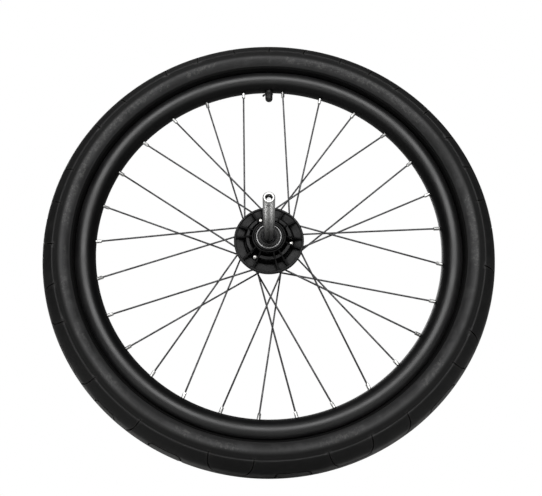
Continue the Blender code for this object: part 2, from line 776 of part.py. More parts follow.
def build_release_rod():
    """The rod's head holds the balls out.  Behind it the rod tapers at the slope
    that lets the balls sink by their travel while the button makes its own."""
    slope = LOCK_BALL_TRAVEL / PUSH_TRAVEL
    taper_start = LOCK_BALL_OUT + 0.6
    taper_length = (ROD_HEAD_R - ROD_R) / slope
    profile = [
        (0, ROD_TIP),
        (ROD_HEAD_R - 0.4, ROD_TIP),
        (ROD_HEAD_R, ROD_TIP - 0.4),
        (ROD_HEAD_R, taper_start),
        (ROD_R, taper_start - taper_length),
        (ROD_R, ROD_BACK),
        (0, ROD_BACK),
    ]
    HUB.part("release_rod", turned(profile, 12), "axle_steel", PUSH)


def build_release_spring():
    steps = SPRING_TURNS * POINTS_PER_TURN
    coil = [
        polar(SPRING_R, 360.0 * i / POINTS_PER_TURN,
              SPRING_FRONT + (SPRING_BACK - SPRING_FRONT) * (i / steps))
        for i in range(steps + 1)
    ]
    shape = sweep(coil, [SPRING_WIRE_R] * len(coil), 5)
    HUB.part("release_spring", shape, "spring_steel", AXLE)


def build_lock_ball(label, side):
    """A ball whose origin is its own centre."""
    shape = ball((0, 0, 0), LOCK_BALL_R, segments=10)
    made = RIM.part(f"lock_ball_{label}", shape, "race_steel", AXLE)
    centre = Vector((0, -(HUB_MID + LOCK_BALL_OUT), side * LOCK_BALL_CENTRE_R))
    made.location = centre * MILLIMETRE


# ---- build ---------------------------------------------------------------------
for leftover in list(bpy.data.objects):
    bpy.data.objects.remove(leftover, do_unlink=True)

WHEEL = linked("wheel_group", None)
AXLE = linked("axle_group", None)
PUSH = linked("release_group", None)
RIM = Section(middle=0.0)
HUB = Section(middle=HUB_MID)

for spoke_index in range(SPOKES):
    build_spoke(spoke_index)
build_rim()
build_tape()
build_tube()
build_tyre()
build_valve()

build_hub_core()
build_front_cover()
build_rear_cover()
for screw_label, screw_deg in zip("abc", SCREW_DEG):
    build_cover_screw(screw_label, screw_deg)
build_bearing("front", 1.0)
build_bearing("rear", -1.0)
build_bearing_spacer()

build_axle_tube()
build_axle_clip()
build_release_button()
build_release_rod()
build_release_spring()
build_lock_ball("lower", -1.0)
build_lock_ball("upper", 1.0)
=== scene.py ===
"""A spoked wheel: pneumatic tyre, painted rim, ribbed plastic hub and a stub axle
that a push button releases.

The wheel turns about the Y axis, with the rim's mid-plane at y = 0, X to the right
and Z up.  The front is the stub axle's side, towards -Y; the valve is at the top.
"""

import bisect
import json
import math
from collections import namedtuple

import bmesh
import bpy
from mathutils import Matrix, Vector, kdtree
from mathutils.geometry import delaunay_2d_cdt

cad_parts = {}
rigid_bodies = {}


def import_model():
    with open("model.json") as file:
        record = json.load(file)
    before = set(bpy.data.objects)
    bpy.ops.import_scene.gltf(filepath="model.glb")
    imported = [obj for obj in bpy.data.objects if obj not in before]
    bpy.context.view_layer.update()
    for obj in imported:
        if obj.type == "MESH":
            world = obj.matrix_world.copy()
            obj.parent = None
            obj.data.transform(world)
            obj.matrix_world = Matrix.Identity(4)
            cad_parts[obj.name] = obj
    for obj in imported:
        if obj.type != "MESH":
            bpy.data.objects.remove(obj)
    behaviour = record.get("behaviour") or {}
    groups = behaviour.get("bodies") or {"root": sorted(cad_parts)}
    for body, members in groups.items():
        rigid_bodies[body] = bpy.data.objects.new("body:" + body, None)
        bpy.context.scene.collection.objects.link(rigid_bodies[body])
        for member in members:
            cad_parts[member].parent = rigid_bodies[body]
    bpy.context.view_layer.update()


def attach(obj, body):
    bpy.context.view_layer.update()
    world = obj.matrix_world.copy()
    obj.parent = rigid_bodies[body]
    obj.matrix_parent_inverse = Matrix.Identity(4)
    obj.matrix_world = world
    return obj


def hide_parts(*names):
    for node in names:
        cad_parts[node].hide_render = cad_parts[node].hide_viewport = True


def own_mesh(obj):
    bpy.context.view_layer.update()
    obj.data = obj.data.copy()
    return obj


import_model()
scene = bpy.context.scene

# Lengths of the pieces are in millimetres and angles in degrees from +X towards +Z.
# "out" runs from the rim's mid-plane towards the axle's tip, so y = -out.
MM = 0.001                # place() writes metres
HUB_MID = -5.5            # the hub's own middle, from the rim's mid-plane
VALVE_AT = 90.0           # direction of the valve


# =============================================================================
# Points and curves
# =============================================================================
def polar(radius, degrees, out=0.0):
    angle = math.radians(degrees)
    return Vector((radius * math.cos(angle), -out, radius * math.sin(angle)))


def hub(radius, degrees, out=0.0):
    """The same, with out measured from the hub's own middle."""
    return polar(radius, degrees, out + HUB_MID)


def smoothstep(start, stop, x):
    t = max(0.0, min(1.0, (x - start) / (stop - start)))
    return t * t * (3 - 2 * t)


def bend(start, corner, end, steps):
    """Points of a quadratic curve from start to end that is drawn to the corner."""
    shares = [s / steps for s in range(steps + 1)]
    return [start * (1 - t) ** 2 + corner * 2 * t * (1 - t) + end * t * t for t in shares]


def rounded(points, size=0.3, steps=3, closed=True):
    """A polyline of (x, y) or (x, y, corner size) with its corners rounded."""
    count, result = len(points), []
    for i, point in enumerate(points):
        here = Vector(point[:2])
        corner = point[2] if len(point) > 2 else size
        if corner <= 0 or (not closed and i in (0, count - 1)):
            result.append((here.x, here.y))
            continue
        back = Vector(points[i - 1][:2]) - here
        ahead = Vector(points[(i + 1) % count][:2]) - here
        reach = min(corner, 0.45 * back.length, 0.45 * ahead.length)
        start, end = here + back.normalized() * reach, here + ahead.normalized() * reach
        result += [(p.x, p.y) for p in bend(start, here, end, steps)]
    return result


def catmull(points, per):
    """A smooth 2-D curve through the points, with per steps between each two."""
    knots = [Vector(p) for p in points]
    knots = [knots[0] * 2 - knots[1]] + knots + [knots[-1] * 2 - knots[-2]]
    result = []
    for i in range(1, len(knots) - 2):
        before, start, end, after = knots[i - 1 : i + 3]
        for s in range(per):
            t = s / per
            result.append(0.5 * ((2 * start) + (end - before) * t
                                 + (2 * before - 5 * start + 4 * end - after) * t * t
                                 + (3 * start - before - 3 * end + after) * t ** 3))
    result.append(knots[-2])
    return result


def at_radius(start, end, radius):
    """Where the line from start to end comes this far from the wheel's axis."""
    run = end - start
    square, linear = run.x * run.x + run.z * run.z, 2 * (start.x * run.x + start.z * run.z)
    rest = start.x * start.x + start.z * start.z - radius * radius
    return start + run * ((-linear + math.sqrt(linear * linear - 4 * square * rest)) / (2 * square))


# =============================================================================
# Solids
# =============================================================================
def bridge(solid, loops, closed=False):
    """Walls between neighbouring loops of vertices."""
    for i in range(len(loops) if closed else len(loops) - 1):
        here, after = loops[i], loops[(i + 1) % len(loops)]
        for j in range(len(here)):
            k = (j + 1) % len(here)
            solid.faces.new((here[j], here[k], after[k], after[j]))


def ring(profile, segments, mid=0.0):
    """A closed profile of (radius, out) turned once round the Y axis."""
    solid = bmesh.new()
    bridge(solid, [[solid.verts.new(polar(r, 360.0 * i / segments, out + mid))
                    for r, out in profile] for i in range(segments)], closed=True)
    return solid


def turned(profile, segments):
    """An open profile, from the hub's middle, that starts and ends on the Y axis."""
    solid = bmesh.new()
    first, last = (solid.verts.new((0, -(profile[i][1] + HUB_MID), 0)) for i in (0, -1))
    loops = [[solid.verts.new(hub(r, 360.0 * i / segments, out)) for r, out in profile[1:-1]]
             for i in range(segments)]
    for i in range(segments):
        here, after = loops[i], loops[(i + 1) % segments]
        solid.faces.new((first, here[0], after[0]))
        for j in range(len(here) - 1):
            solid.faces.new((here[j], here[j + 1], after[j + 1], after[j]))
        solid.faces.new((here[-1], last, after[-1]))
    return solid


def tangents_along(path, closed):
    count, tangents = len(path), []
    for i, point in enumerate(path):
        total = Vector((0, 0, 0))
        if i or closed:
            total += (point - path[i - 1]).normalized()
        if i + 1 < count or closed:
            total += (path[(i + 1) % count] - point).normalized()
        tangents.append(total.normalized())
    return tangents


def sweep(path, radii, sides, into=None, section=None, closed=False):
    """A bar along a path.  section(i, angle) may scale the radius."""
    solid = into or bmesh.new()
    tangents = tangents_along(path, closed)
    side = tangents[0].orthogonal().normalized()
    loops = []
    for i, (point, tangent, radius) in enumerate(zip(path, tangents, radii)):
        side = (side - tangent * side.dot(tangent)).normalized()
        up = tangent.cross(side)
        loop = []
        for s in range(sides):
            angle = 2 * math.pi * s / sides
            reach = radius * (section(i, angle) if section else 1.0)
            offset = point + side * reach * math.cos(angle)
            loop.append(solid.verts.new(offset + up * reach * math.sin(angle)))
        loops.append(loop)
    bridge(solid, loops, closed)
    if not closed:
        solid.faces.new(list(reversed(loops[0])))
        solid.faces.new(loops[-1])
    return solid


def bar(start, end, radius, sides, into):
    sweep([start, end], [radius, radius], sides, into)


def spindle(stations, point_at, sides, section=None):
    """A bar from (place, radius) stations; point_at turns a place into a point."""
    return sweep([point_at(at) for at, _ in stations], [r for _, r in stations], sides,
                 section=section)


def ball(radius, centre, subdivisions):
    solid = bmesh.new()
    bmesh.ops.create_icosphere(solid, subdivisions=subdivisions, radius=radius,
                               matrix=Matrix.Translation(centre))
    return solid


def shade(mesh, sharp):
    mesh.shade_smooth()
    mesh.set_sharp_from_angle(angle=math.radians(sharp))


def mesh_of(name, solid, sharp=32.0):
    bmesh.ops.scale(solid, verts=solid.verts, vec=(MM, MM, MM))
    bmesh.ops.recalc_face_normals(solid, faces=solid.faces)
    mesh = bpy.data.meshes.new(name)
    solid.to_mesh(mesh)
    solid.free()
    shade(mesh, sharp)
    return mesh


def place(name, solid, material, body, node=None, sharp=32.0):
    """Makes the object, lets it ride on a body and replace a CAD node."""
    mesh = mesh_of(name, solid, sharp)
    mesh.materials.append(material)
    obj = bpy.data.objects.new(name, mesh)
    scene.collection.objects.link(obj)
    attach(obj, body)
    if node:
        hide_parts(node)
    return obj


def carve(obj, cutter, operation="DIFFERENCE", sharp=32.0):
    """Applies a Boolean and throws the cutter away."""
    tool_mesh = mesh_of("tool", cutter)
    tool = bpy.data.objects.new("tool", tool_mesh)
    scene.collection.objects.link(tool)
    modifier = obj.modifiers.new("carve", "BOOLEAN")
    modifier.operation, modifier.solver, modifier.object = operation, "EXACT", tool
    bpy.context.view_layer.update()
    evaluated = obj.evaluated_get(bpy.context.evaluated_depsgraph_get())
    made = bpy.data.meshes.new_from_object(evaluated)
    obj.modifiers.clear()
    old, obj.data = obj.data, made
    made.name = obj.name
    bpy.data.meshes.remove(old)
    bpy.data.objects.remove(tool)
    bpy.data.meshes.remove(tool_mesh)
    shade(made, sharp)


# =============================================================================
# Shader nodes
# =============================================================================
def feed(tree, socket, value):
    """Links another socket in, or sets a plain value; colours are (r, g, b)."""
    if isinstance(value, Signal):
        value = value.socket
    if isinstance(value, bpy.types.NodeSocket):
        tree.links.new(value, socket)
    elif socket.type == "RGBA":
        socket.default_value = (*value, 1.0)
    else:
        socket.default_value = value


def add_node(tree, kind, inputs=None, **settings):
    made = tree.nodes.new(kind)
    for key, value in settings.items():
        setattr(made, key, value)
    for key, value in (inputs or {}).items():
        feed(tree, made.inputs[key], value)
    return made


def smooth_range(tree, value, over, to=(0.0, 1.0)):
    """Eases from to[0] to to[1] while the value goes from over[0] to over[1]."""
    return add_node(tree, "ShaderNodeMapRange",
                    {0: value, 1: over[0], 2: over[1], 3: to[0], 4: to[1]},
                    interpolation_type="SMOOTHSTEP").outputs[0]


class Signal:
    """A node's output that can be added and multiplied into Math nodes."""

    def __init__(self, look, socket):
        self.look, self.socket = look, socket

    def __add__(self, other):
        return self.look.maths("ADD", self, other)

    def __mul__(self, other):
        return self.look.maths("MULTIPLY", self, other)

    def __rsub__(self, other):
        return self.look.maths("SUBTRACT", other, self)


class Finish:
    """A material whose patterns come from the object's own coordinates, in metres.

    Factors on masks and heights are their shares in a mix.
    """

    def __init__(self, name):
        self.material = bpy.data.materials.new(name)
        self.material.use_nodes = True
        self.tree = self.material.node_tree
        self.coords = self.node("ShaderNodeTexCoord", output="Object")

    def node(self, kind, inputs=None, output=0, **settings):
        return Signal(self, add_node(self.tree, kind, inputs, **settings).outputs[output])

    def maths(self, operation, first, second=0.0):
        return self.node("ShaderNodeMath", {0: first, 1: second, 2: 0.0}, operation=operation)

    def noise(self, scale, detail=3.0, roughness=0.55, vector=None, distortion=0.0):
        return self.node("ShaderNodeTexNoise", {
            "Vector": vector or self.coords, "Scale": scale, "Detail": detail,
            "Roughness": roughness, "Distortion": distortion})

    def streaks(self, coords, detail, roughness):
        """Noise over three coordinates, each already scaled to its own fineness."""
        joined = self.node("ShaderNodeCombineXYZ", dict(enumerate(coords)))
        return self.noise(scale=1.0, detail=detail, roughness=roughness, vector=joined)

    def cells(self, scale):
        return self.node("ShaderNodeTexVoronoi", {"Vector": self.coords, "Scale": scale},
                         output="Distance")

    def ramp(self, value, over=(0.0, 1.0), to=(0.0, 1.0)):
        return Signal(self, smooth_range(self.tree, value, over, to))

    def between(self, value, rise, fall):
        """A band that fades in over rise and out over fall, from its far end."""
        return self.ramp(value, over=rise) * self.ramp(value, over=fall)

    def mix(self, share, low, high):
        return self.node("ShaderNodeMix", {0: share, 6: low, 7: high}, output=2,
                         data_type="RGBA")

    def tint(self, base, where, strength, colour):
        return self.mix(where * strength, low=base, high=colour)

    def polar(self, with_turn=True):
        """Distance from the wheel's axis, the turn about it in radians, and y."""
        split = add_node(self.tree, "ShaderNodeSeparateXYZ", {0: self.coords})
        x, y, z = (Signal(self, socket) for socket in split.outputs)
        radius = self.maths("SQRT", x * x + z * z)
        return radius, self.maths("ARCTAN2", z, x) if with_turn else None, y

    def bump(self, height, strength, distance):
        return self.node("ShaderNodeBump", {"Strength": strength, "Distance": distance,
                                            "Height": height})

    def attribute(self, name):
        return self.node("ShaderNodeAttribute", output="Fac", attribute_name=name)

    def edge_wear(self, over=(0.53, 0.62)):
        """Where the surface turns outwards sharply."""
        return self.ramp(self.node("ShaderNodeNewGeometry", output="Pointiness"), over=over)

    def finish(self, colour, roughness, normal, metallic=0.0, specular=0.5):
        inputs = {"Base Color": colour, "Roughness": roughness, "Metallic": metallic,
                  "Normal": normal, "Specular IOR Level": specular}
        shader = self.tree.nodes["Principled BSDF"]
        for key, value in inputs.items():
            feed(self.tree, shader.inputs[key], value)
        return self.material


# =============================================================================
# Materials
# =============================================================================
def tyre_rubber():
    look = Finish("tyre_rubber")
    radius, turn, y = look.polar()
    groove, groove_edge = look.attribute("groove"), look.attribute("rim_of_groove")
    mottle = look.noise(scale=55.0, detail=5.0, roughness=0.6)
    large = look.noise(scale=13.0, distortion=0.4)
    grain = look.noise(scale=2600.0, detail=2.0)
    streak = look.streaks((radius * 700.0, turn * 6.0, y), detail=4.0, roughness=0.6)
    # the sidewall's band: smoother rubber, and a lighter colour that is painted sheen; patchy but
    # never quite gone
    band = look.between(radius, rise=(0.2160, 0.2198), fall=(0.2278, 0.2236))
    patches = look.ramp(large * 0.45 + mottle * 0.55, over=(0.44, 0.56))
    polish_and_painted_sheen = band * (patches * 0.85 + 0.15)
    # dry scuffs, small and broken; their lighter colour is painted sheen, kept inside the painted
    # sheen band
    scuffs_and_sheen_flecks = (look.ramp(look.noise(scale=260.0, detail=4.0, roughness=0.75), over=(0.49, 0.60))
              * look.ramp(large, over=(0.47, 0.56)))
    scuffs_and_sheen_flecks = scuffs_and_sheen_flecks * look.between(radius, rise=(0.2185, 0.2205), fall=(0.2275, 0.2255))
    # zones by radius
    tread = look.ramp(radius, over=(0.2335, 0.2362))
    # painted shade: darker in the concave step just below the tread cap
    valley_shade = look.between(radius, rise=(0.2262, 0.2295), fall=(0.2338, 0.2325))
    # painted shade: near black at the foot of the sidewall, by the rim's flange
    rim_gap_shade = look.ramp(radius, over=(0.2175, 0.2148))
    # painted reflection: the crown is lighter near the outline, for the bright backdrop mirrored at
    # a grazing angle
    crown = look.ramp(radius, over=(0.2452, 0.2482))
    base = look.mix(look.ramp(mottle, over=(0.46, 0.70)), low=(0.0095, 0.0095, 0.0098),
                    high=(0.0170, 0.0168, 0.0164))
    tread_strength = look.ramp(mottle, over=(0.40, 0.66), to=(0.85, 0.55))
    for where, strength, colour in (
            # painted sheen: the band's lighter colour
            (polish_and_painted_sheen, 0.80, (0.036, 0.036, 0.037)),
            # painted sheen: the flecks' lighter colour
            (scuffs_and_sheen_flecks, 0.85, (0.078, 0.077, 0.075)),
            # painted shade below the tread cap
            (valley_shade, 0.75, (0.0045, 0.0045, 0.0045)),
            # painted shade in the gap by the rim
            (rim_gap_shade, 0.9, (0.0036, 0.0036, 0.0036)),
            (tread, tread_strength, (0.0050, 0.0050, 0.0050)),
            # painted reflection on the crown
            (crown, 0.80, (0.062, 0.061, 0.060)),
            (groove_edge, 0.6, (0.034, 0.033, 0.032)),
            # painted shade: the groove floors darkened
            (groove, 0.9, (0.0030, 0.0030, 0.0030))):
        base = look.tint(base, where, strength, colour)
    rough = look.ramp(mottle, over=(0.35, 0.7), to=(0.52, 0.70)) + polish_and_painted_sheen * -0.10
    # the usual specular level, lowered on the dark tread and in the painted shade zones, and raised
    # again on the crown under its painted reflection
    dark = look.maths("MAXIMUM", look.maths("MAXIMUM", tread, valley_shade), rim_gap_shade * 1.6)
    shine = (0.50 - dark * 0.24) + crown * 0.24
    height = grain * 0.35 + streak * 0.25 + mottle * 0.8 + scuffs_and_sheen_flecks * 0.5
    return look.finish(base, rough, look.bump(height, strength=0.4, distance=0.00028),
                       specular=shine)


def dull_rubber(name, colour, rough):
    look = Finish(name)
    grain, cloud = look.noise(scale=1800.0, detail=2.0), look.noise(scale=120.0, detail=4.0)
    dusty = tuple(c * 1.9 + 0.006 for c in colour)
    base = look.mix(look.ramp(cloud, over=(0.42, 0.68)), low=colour, high=dusty)
    return look.finish(base, look.ramp(cloud, over=(0.3, 0.7), to=(rough - 0.1, rough + 0.1)),
                       look.bump(grain, strength=0.3, distance=0.00012))


def rim_paint():
    """Satin black with fine rubbed circles, and painted shade in the tyre's bed: darker colour and
    little specular there.
    """
    look = Finish("rim_paint")
    radius, turn, y = look.polar()
    peel = look.noise(scale=420.0, detail=2.0, roughness=0.4)
    cloud = look.noise(scale=26.0, detail=4.0, roughness=0.6)
    fine = look.noise(scale=3200.0, detail=1.0)
    rubbed = look.streaks((radius * 2400.0, turn * 14.0, y), detail=5.0, roughness=0.7)
    scratch = (look.ramp(rubbed, over=(0.66, 0.74))
               * look.ramp(look.noise(scale=40.0, detail=2.0), over=(0.5, 0.62)))
    edge = look.edge_wear(over=(0.52, 0.58)) * look.ramp(cloud, over=(0.4, 0.62))
    # painted shade: the bed darkened and its specular level turned down
    bed_shade = look.ramp(radius, over=(0.2005, 0.1950))
    base = look.mix(look.ramp(cloud, over=(0.38, 0.66)), low=(0.0050, 0.0050, 0.0053),
                    high=(0.0085, 0.0085, 0.0088))
    base = look.tint(base, scratch, strength=0.5, colour=(0.07, 0.07, 0.072))
    base = look.tint(base, edge, strength=0.35, colour=(0.055, 0.055, 0.056))
    base = look.tint(base, bed_shade, strength=0.7, colour=(0.0028, 0.0028, 0.0029))
    rough = look.ramp(cloud, over=(0.3, 0.7), to=(0.37, 0.45)) + scratch * 0.10
    height = peel * 1.0 + fine * 0.2
    return look.finish(base, rough, look.bump(height, strength=0.20, distance=0.00014),
                       specular=look.ramp(bed_shade, to=(0.64, 0.16)))


def drawn_steel(name, colour, blotch, rough):
    """Wire and bright fittings: fine drawing lines and dull blotches."""
    look = Finish(name)
    lines = look.noise(scale=5200.0, detail=2.0)
    cloud = look.noise(scale=160.0, detail=4.0)
    grain = look.noise(scale=2200.0, detail=2.0)
    base = look.mix(look.ramp(cloud, over=(0.36, 0.66)), low=colour, high=blotch)
    return look.finish(base, look.ramp(cloud, over=(0.3, 0.7), to=(rough - 0.07, rough + 0.09)),
                       look.bump(lines + grain, strength=0.12, distance=0.00006), metallic=0.9)


def axle_steel():
    """Plated steel, brushed along the axle, with painted shade near the hub, where the hub keeps
    light off its reflections.
    """
    look = Finish("axle_steel")
    _, turn, y = look.polar()
    brushed = look.streaks((turn * 34.0, y * 55.0, 0.0), detail=4.0, roughness=0.65)
    fine = look.streaks((turn * 90.0, y * 160.0, 3.0), detail=2.0, roughness=0.5)
    turned_marks = look.streaks((y * 5200.0, 0.0, 0.0), detail=3.0, roughness=0.6)
    cloud = look.noise(scale=90.0, detail=4.0)
    # painted shade: darker and a little rougher towards the hub
    hub_shade = (look.ramp(y, over=(-0.100, -0.042)) * 0.50
              + look.ramp(y, over=(-0.070, -0.032)) * 0.50)
    base = look.mix(look.ramp(brushed, over=(0.35, 0.65)), low=(0.44, 0.44, 0.435),
                    high=(0.64, 0.64, 0.63))
    base = look.tint(base, look.ramp(cloud, over=(0.5, 0.75)), strength=0.25,
                     colour=(0.36, 0.355, 0.34))
    base = look.tint(base, hub_shade, strength=0.96, colour=(0.020, 0.020, 0.020))
    rough = look.ramp(brushed, over=(0.3, 0.7), to=(0.31, 0.40)) + hub_shade * 0.06
    height = brushed * 0.7 + fine * 0.3 + turned_marks * 0.15
    return look.finish(base, rough, look.bump(height, strength=0.10, distance=0.00006),
                       metallic=1.0)


def ground_steel(name, colour):
    """Ground rings: fine circles round the wheel's axis."""
    look = Finish(name)
    radius, _, y = look.polar(with_turn=False)
    circles = look.streaks((radius * 9000.0, y * 9000.0, 0.0), detail=2.0, roughness=0.6)
    cloud = look.noise(scale=240.0)
    base = look.mix(look.ramp(cloud, over=(0.38, 0.68)), low=colour,
                    high=tuple(c * 0.72 for c in colour))
    return look.finish(base, look.ramp(cloud, over=(0.3, 0.7), to=(0.24, 0.33)),
                       look.bump(circles, strength=0.10, distance=0.00005), metallic=1.0)


def hub_plastic():
    """Black moulded nylon with a fine spark texture, pale edges, and painted shade in the corners.
    """
    look = Finish("hub_plastic")
    spark, cloud = look.cells(scale=2400.0), look.noise(scale=150.0, detail=4.0, roughness=0.6)
    flow = look.noise(scale=38.0, roughness=0.5, distortion=1.2)
    edge = look.edge_wear(over=(0.53, 0.64)) * look.ramp(cloud, over=(0.36, 0.60))
    # painted shade: an ambient-occlusion node darkens the corners and crevices and lowers their
    # specular level
    openness = look.node("ShaderNodeAmbientOcclusion", {"Distance": 0.0065}, output="AO",
                         samples=8)
    clear_of_painted_shade = look.ramp(openness, over=(0.50, 0.92))
    radius, _, _ = look.polar(with_turn=False)
    boss = look.ramp(radius, over=(0.0205, 0.0180))
    base = look.mix(look.ramp(cloud, over=(0.38, 0.68)), low=(0.0046, 0.0046, 0.0047),
                    high=(0.0125, 0.0125, 0.0128))
    base = look.tint(base, edge, strength=0.55, colour=(0.055, 0.055, 0.055))
    base = look.mix(clear_of_painted_shade, low=(0.0022, 0.0022, 0.0023), high=base)
    base = look.tint(base, boss, strength=0.6, colour=(0.0030, 0.0030, 0.0031))
    rough = (look.ramp(cloud, over=(0.3, 0.7), to=(0.36, 0.50))
             + look.ramp(flow, over=(0.45, 0.7)) * 0.08)
    return look.finish(base, rough,
                       look.bump(spark + cloud * 0.8, strength=0.28, distance=0.00010),
                       specular=look.ramp(clear_of_painted_shade, to=(0.06, 0.21))
                       * look.ramp(boss, to=(1.0, 0.6)))


def moulded_plastic(name, colour, rough):
    look = Finish(name)
    spark, cloud = look.cells(scale=2800.0), look.noise(scale=170.0, detail=4.0)
    edge = look.edge_wear() * look.ramp(cloud, over=(0.4, 0.62))
    base = look.mix(look.ramp(cloud, over=(0.4, 0.7)), low=colour,
                    high=tuple(c * 1.5 + 0.003 for c in colour))
    base = look.tint(base, edge, strength=0.4, colour=tuple(c * 2.6 + 0.02 for c in colour))
    return look.finish(base, look.ramp(cloud, over=(0.3, 0.7), to=(rough - 0.07, rough + 0.09)),
                       look.bump(spark, strength=0.2, distance=0.00008))


def zinc_plate():
    look = Finish("zinc")
    cloud = look.noise(scale=380.0, detail=4.0, roughness=0.6)
    grain = look.noise(scale=3400.0, detail=2.0)
    base = look.mix(look.ramp(cloud, over=(0.40, 0.66)), low=(0.80, 0.79, 0.76),
                    high=(0.60, 0.595, 0.57))
    return look.finish(base, look.ramp(cloud, over=(0.3, 0.7), to=(0.24, 0.38)),
                       look.bump(grain + cloud, strength=0.15, distance=0.00006), metallic=1.0)


RUBBER = tyre_rubber()
TUBE_RUBBER = dull_rubber("tube_rubber", colour=(0.028, 0.028, 0.029), rough=0.55)
TAPE = dull_rubber("rim_tape", colour=(0.075, 0.075, 0.078), rough=0.65)
SEAL = dull_rubber("seal_rubber", colour=(0.0075, 0.0075, 0.0075), rough=0.55)
VALVE_RUBBER = dull_rubber("valve_rubber", colour=(0.005, 0.005, 0.005), rough=0.6)
VALVE_PLASTIC = moulded_plastic("valve_plastic", colour=(0.0045, 0.0045, 0.0045), rough=0.50)
BUTTON = moulded_plastic("button_plastic", colour=(0.030, 0.030, 0.031), rough=0.38)
PAINT = rim_paint()
SPOKE = drawn_steel("spoke_steel", colour=(0.105, 0.105, 0.108),
                    blotch=(0.060, 0.060, 0.062), rough=0.34)
NIPPLE = drawn_steel("nipple_plate", colour=(0.50, 0.50, 0.49),
                     blotch=(0.34, 0.34, 0.335), rough=0.30)
HUB_PLASTIC = hub_plastic()
ZINC = zinc_plate()
RACE = ground_steel("race_steel", colour=(0.42, 0.42, 0.42))
# painted shade: a darker copy of the race steel for the inner ring, which sits in shade between the
# axle and the seal
SHADED_RACE = ground_steel("shaded_race_steel", colour=(0.060, 0.060, 0.061))
SPACER = ground_steel("spacer_alloy", colour=(0.58, 0.58, 0.58))
AXLE = axle_steel()
CLIP = drawn_steel("clip_steel", colour=(0.020, 0.020, 0.021),
                   blotch=(0.012, 0.012, 0.013), rough=0.55)
SPRING = drawn_steel("spring_steel", colour=(0.46, 0.46, 0.47),
                     blotch=(0.34, 0.34, 0.345), rough=0.28)

# =============================================================================
# Tyre section.  "across" is the distance from the crown along the skin, positive
# to the front; "around" is the distance round the wheel at SKIN_R.
# =============================================================================
# (radius, out); the first point only steers the curve and its span is dropped
OUTER_CURVE = catmull([(251.5, -14.0), (250.0, 0.0), (245.9, 13.4), (237.9, 21.0), (227.2, 23.5),
                       (219.6, 21.0), (215.2, 16.6), (213.5, 13.2), (213.2, 11.4)], 60)[60:]
ALONG = [0.0]             # length of the curve up to each of its points
for start, end in zip(OUTER_CURVE, OUTER_CURVE[1:]):
    ALONG.append(ALONG[-1] + (end - start).length)
SKIN = ALONG[-1]          # from the crown to the bead
CAP = 29.4                # where the tread cap ends on the sidewall
SKIN_R = 245.0
PER_DEG = math.radians(1.0) * SKIN_R
LENGTH = 360.0 * PER_DEG
CUT_ANGLE = 4.6           # where the skin is laid open; grooves near it are left out
COLUMNS = 288
# Raised mould lines: (height, distance from the crown, half width)
MOULD_LINES = ((0.30, CAP - 0.35, 0.55), (0.32, SKIN - 7.6, 0.55), (0.28, SKIN - 4.9, 0.5))


def skin(across):
    """Point and outward normal, as (radius, out), of the plain section."""
    side, distance = (1.0 if across >= 0 else -1.0), min(abs(across), SKIN - 1e-6)
    low = bisect.bisect_right(ALONG, distance) - 1
    share = (distance - ALONG[low]) / (ALONG[low + 1] - ALONG[low])
    point = OUTER_CURVE[low].lerp(OUTER_CURVE[low + 1], share)
    last = len(OUTER_CURVE) - 1
    i = min(max(low, 1), last - 1)
    tangent = (OUTER_CURVE[i + 1] - OUTER_CURVE[i - 1]).lerp(
        OUTER_CURVE[min(i + 2, last)] - OUTER_CURVE[i], share).normalized()
    return (point.x, point.y * side), (tangent.y, -tangent.x * side)


def relief(across):
    """Height over the plain section: a step below the tread cap, and mould lines."""
    distance = abs(across)
    height = -0.75 * smoothstep(CAP + 0.15, CAP + 0.75, distance)
    height += 0.75 * smoothstep(CAP + 4.0, CAP + 8.5, distance)
    for rise, at, half in MOULD_LINES:
        height += rise * max(0.0, 1 - abs(distance - at) / half)
    return height


def skin_point(around, across, inward):
    (radius, out), (normal_r, normal_out) = skin(across)
    height = relief(across) - inward
    return polar(radius + normal_r * height, around / PER_DEG + CUT_ANGLE,
                 out + normal_out * height)


# =============================================================================
# Tread grooves
# =============================================================================
# Directions in degrees: (left, right), one, and (middle, half width)
GATES = ((10.4, 20.8), (40.0, 51.0), (69.0, 80.0), (100.0, 111.0), (135.0, 145.6),
         (160.0, 170.2), (193.0, 203.7), (255.2, 266.5), (284.6, 295.9), (324.0, 333.6))
SLASHES = (30.6, 60.0, 90.0, 120.8, 182.0, 220.8, 236.6, 306.4, 351.9)
CUPS = ((227.4, 3.0), (244.9, 4.0), (275.6, 4.0), (316.2, 4.2), (343.2, 4.0), (0.4, 3.2),
        (34.8, 2.0), (64.8, 1.6), (85.0, 2.2), (95.2, 2.3), (127.6, 3.2), (152.6, 3.4),
        (176.2, 2.4), (187.6, 1.6), (212.0, 3.8))
REAR_TURN = 14.5          # the rear half's pattern is turned by this
SHOULDER = 30.6           # where gates and slashes start
WALL_RUN = 0.35           # how far a groove's wall leans in
CUT_MARGIN = 2.5
Groove = namedtuple("Groove", "coarse fine half depth")


def groove_path(points):
    return rounded(points, steps=7, closed=False)


def gate(left, right):
    """A groove that runs in from the shoulder, turns and runs out again."""
    start, end = left * PER_DEG, right * PER_DEG
    return groove_path([(start, SHOULDER), (start + 1.0, 20.0, 6.0), (start + 6.6, 7.4, 4.6),
                        (end - 8.4, 7.4, 4.6), (end - 1.6, 20.0, 6.0), (end, SHOULDER)])


def slash(direction):
    """A single groove from the shoulder towards the crown."""
    start = direction * PER_DEG
    return groove_path([(start, SHOULDER), (start - 1.7, 19.5, 7.0), (start - 9.6, 3.6)])


def cup(direction, half_width):
    """A hooked groove that opens towards the crown."""
    mid, half = direction * PER_DEG, half_width * PER_DEG
    return groove_path([(mid - half - 1.2, 4.4), (mid - half + 0.5, 13.9, 4.4),
                        (mid + half - 0.5, 13.9, 4.4), (mid + half + 1.2, 4.4)])


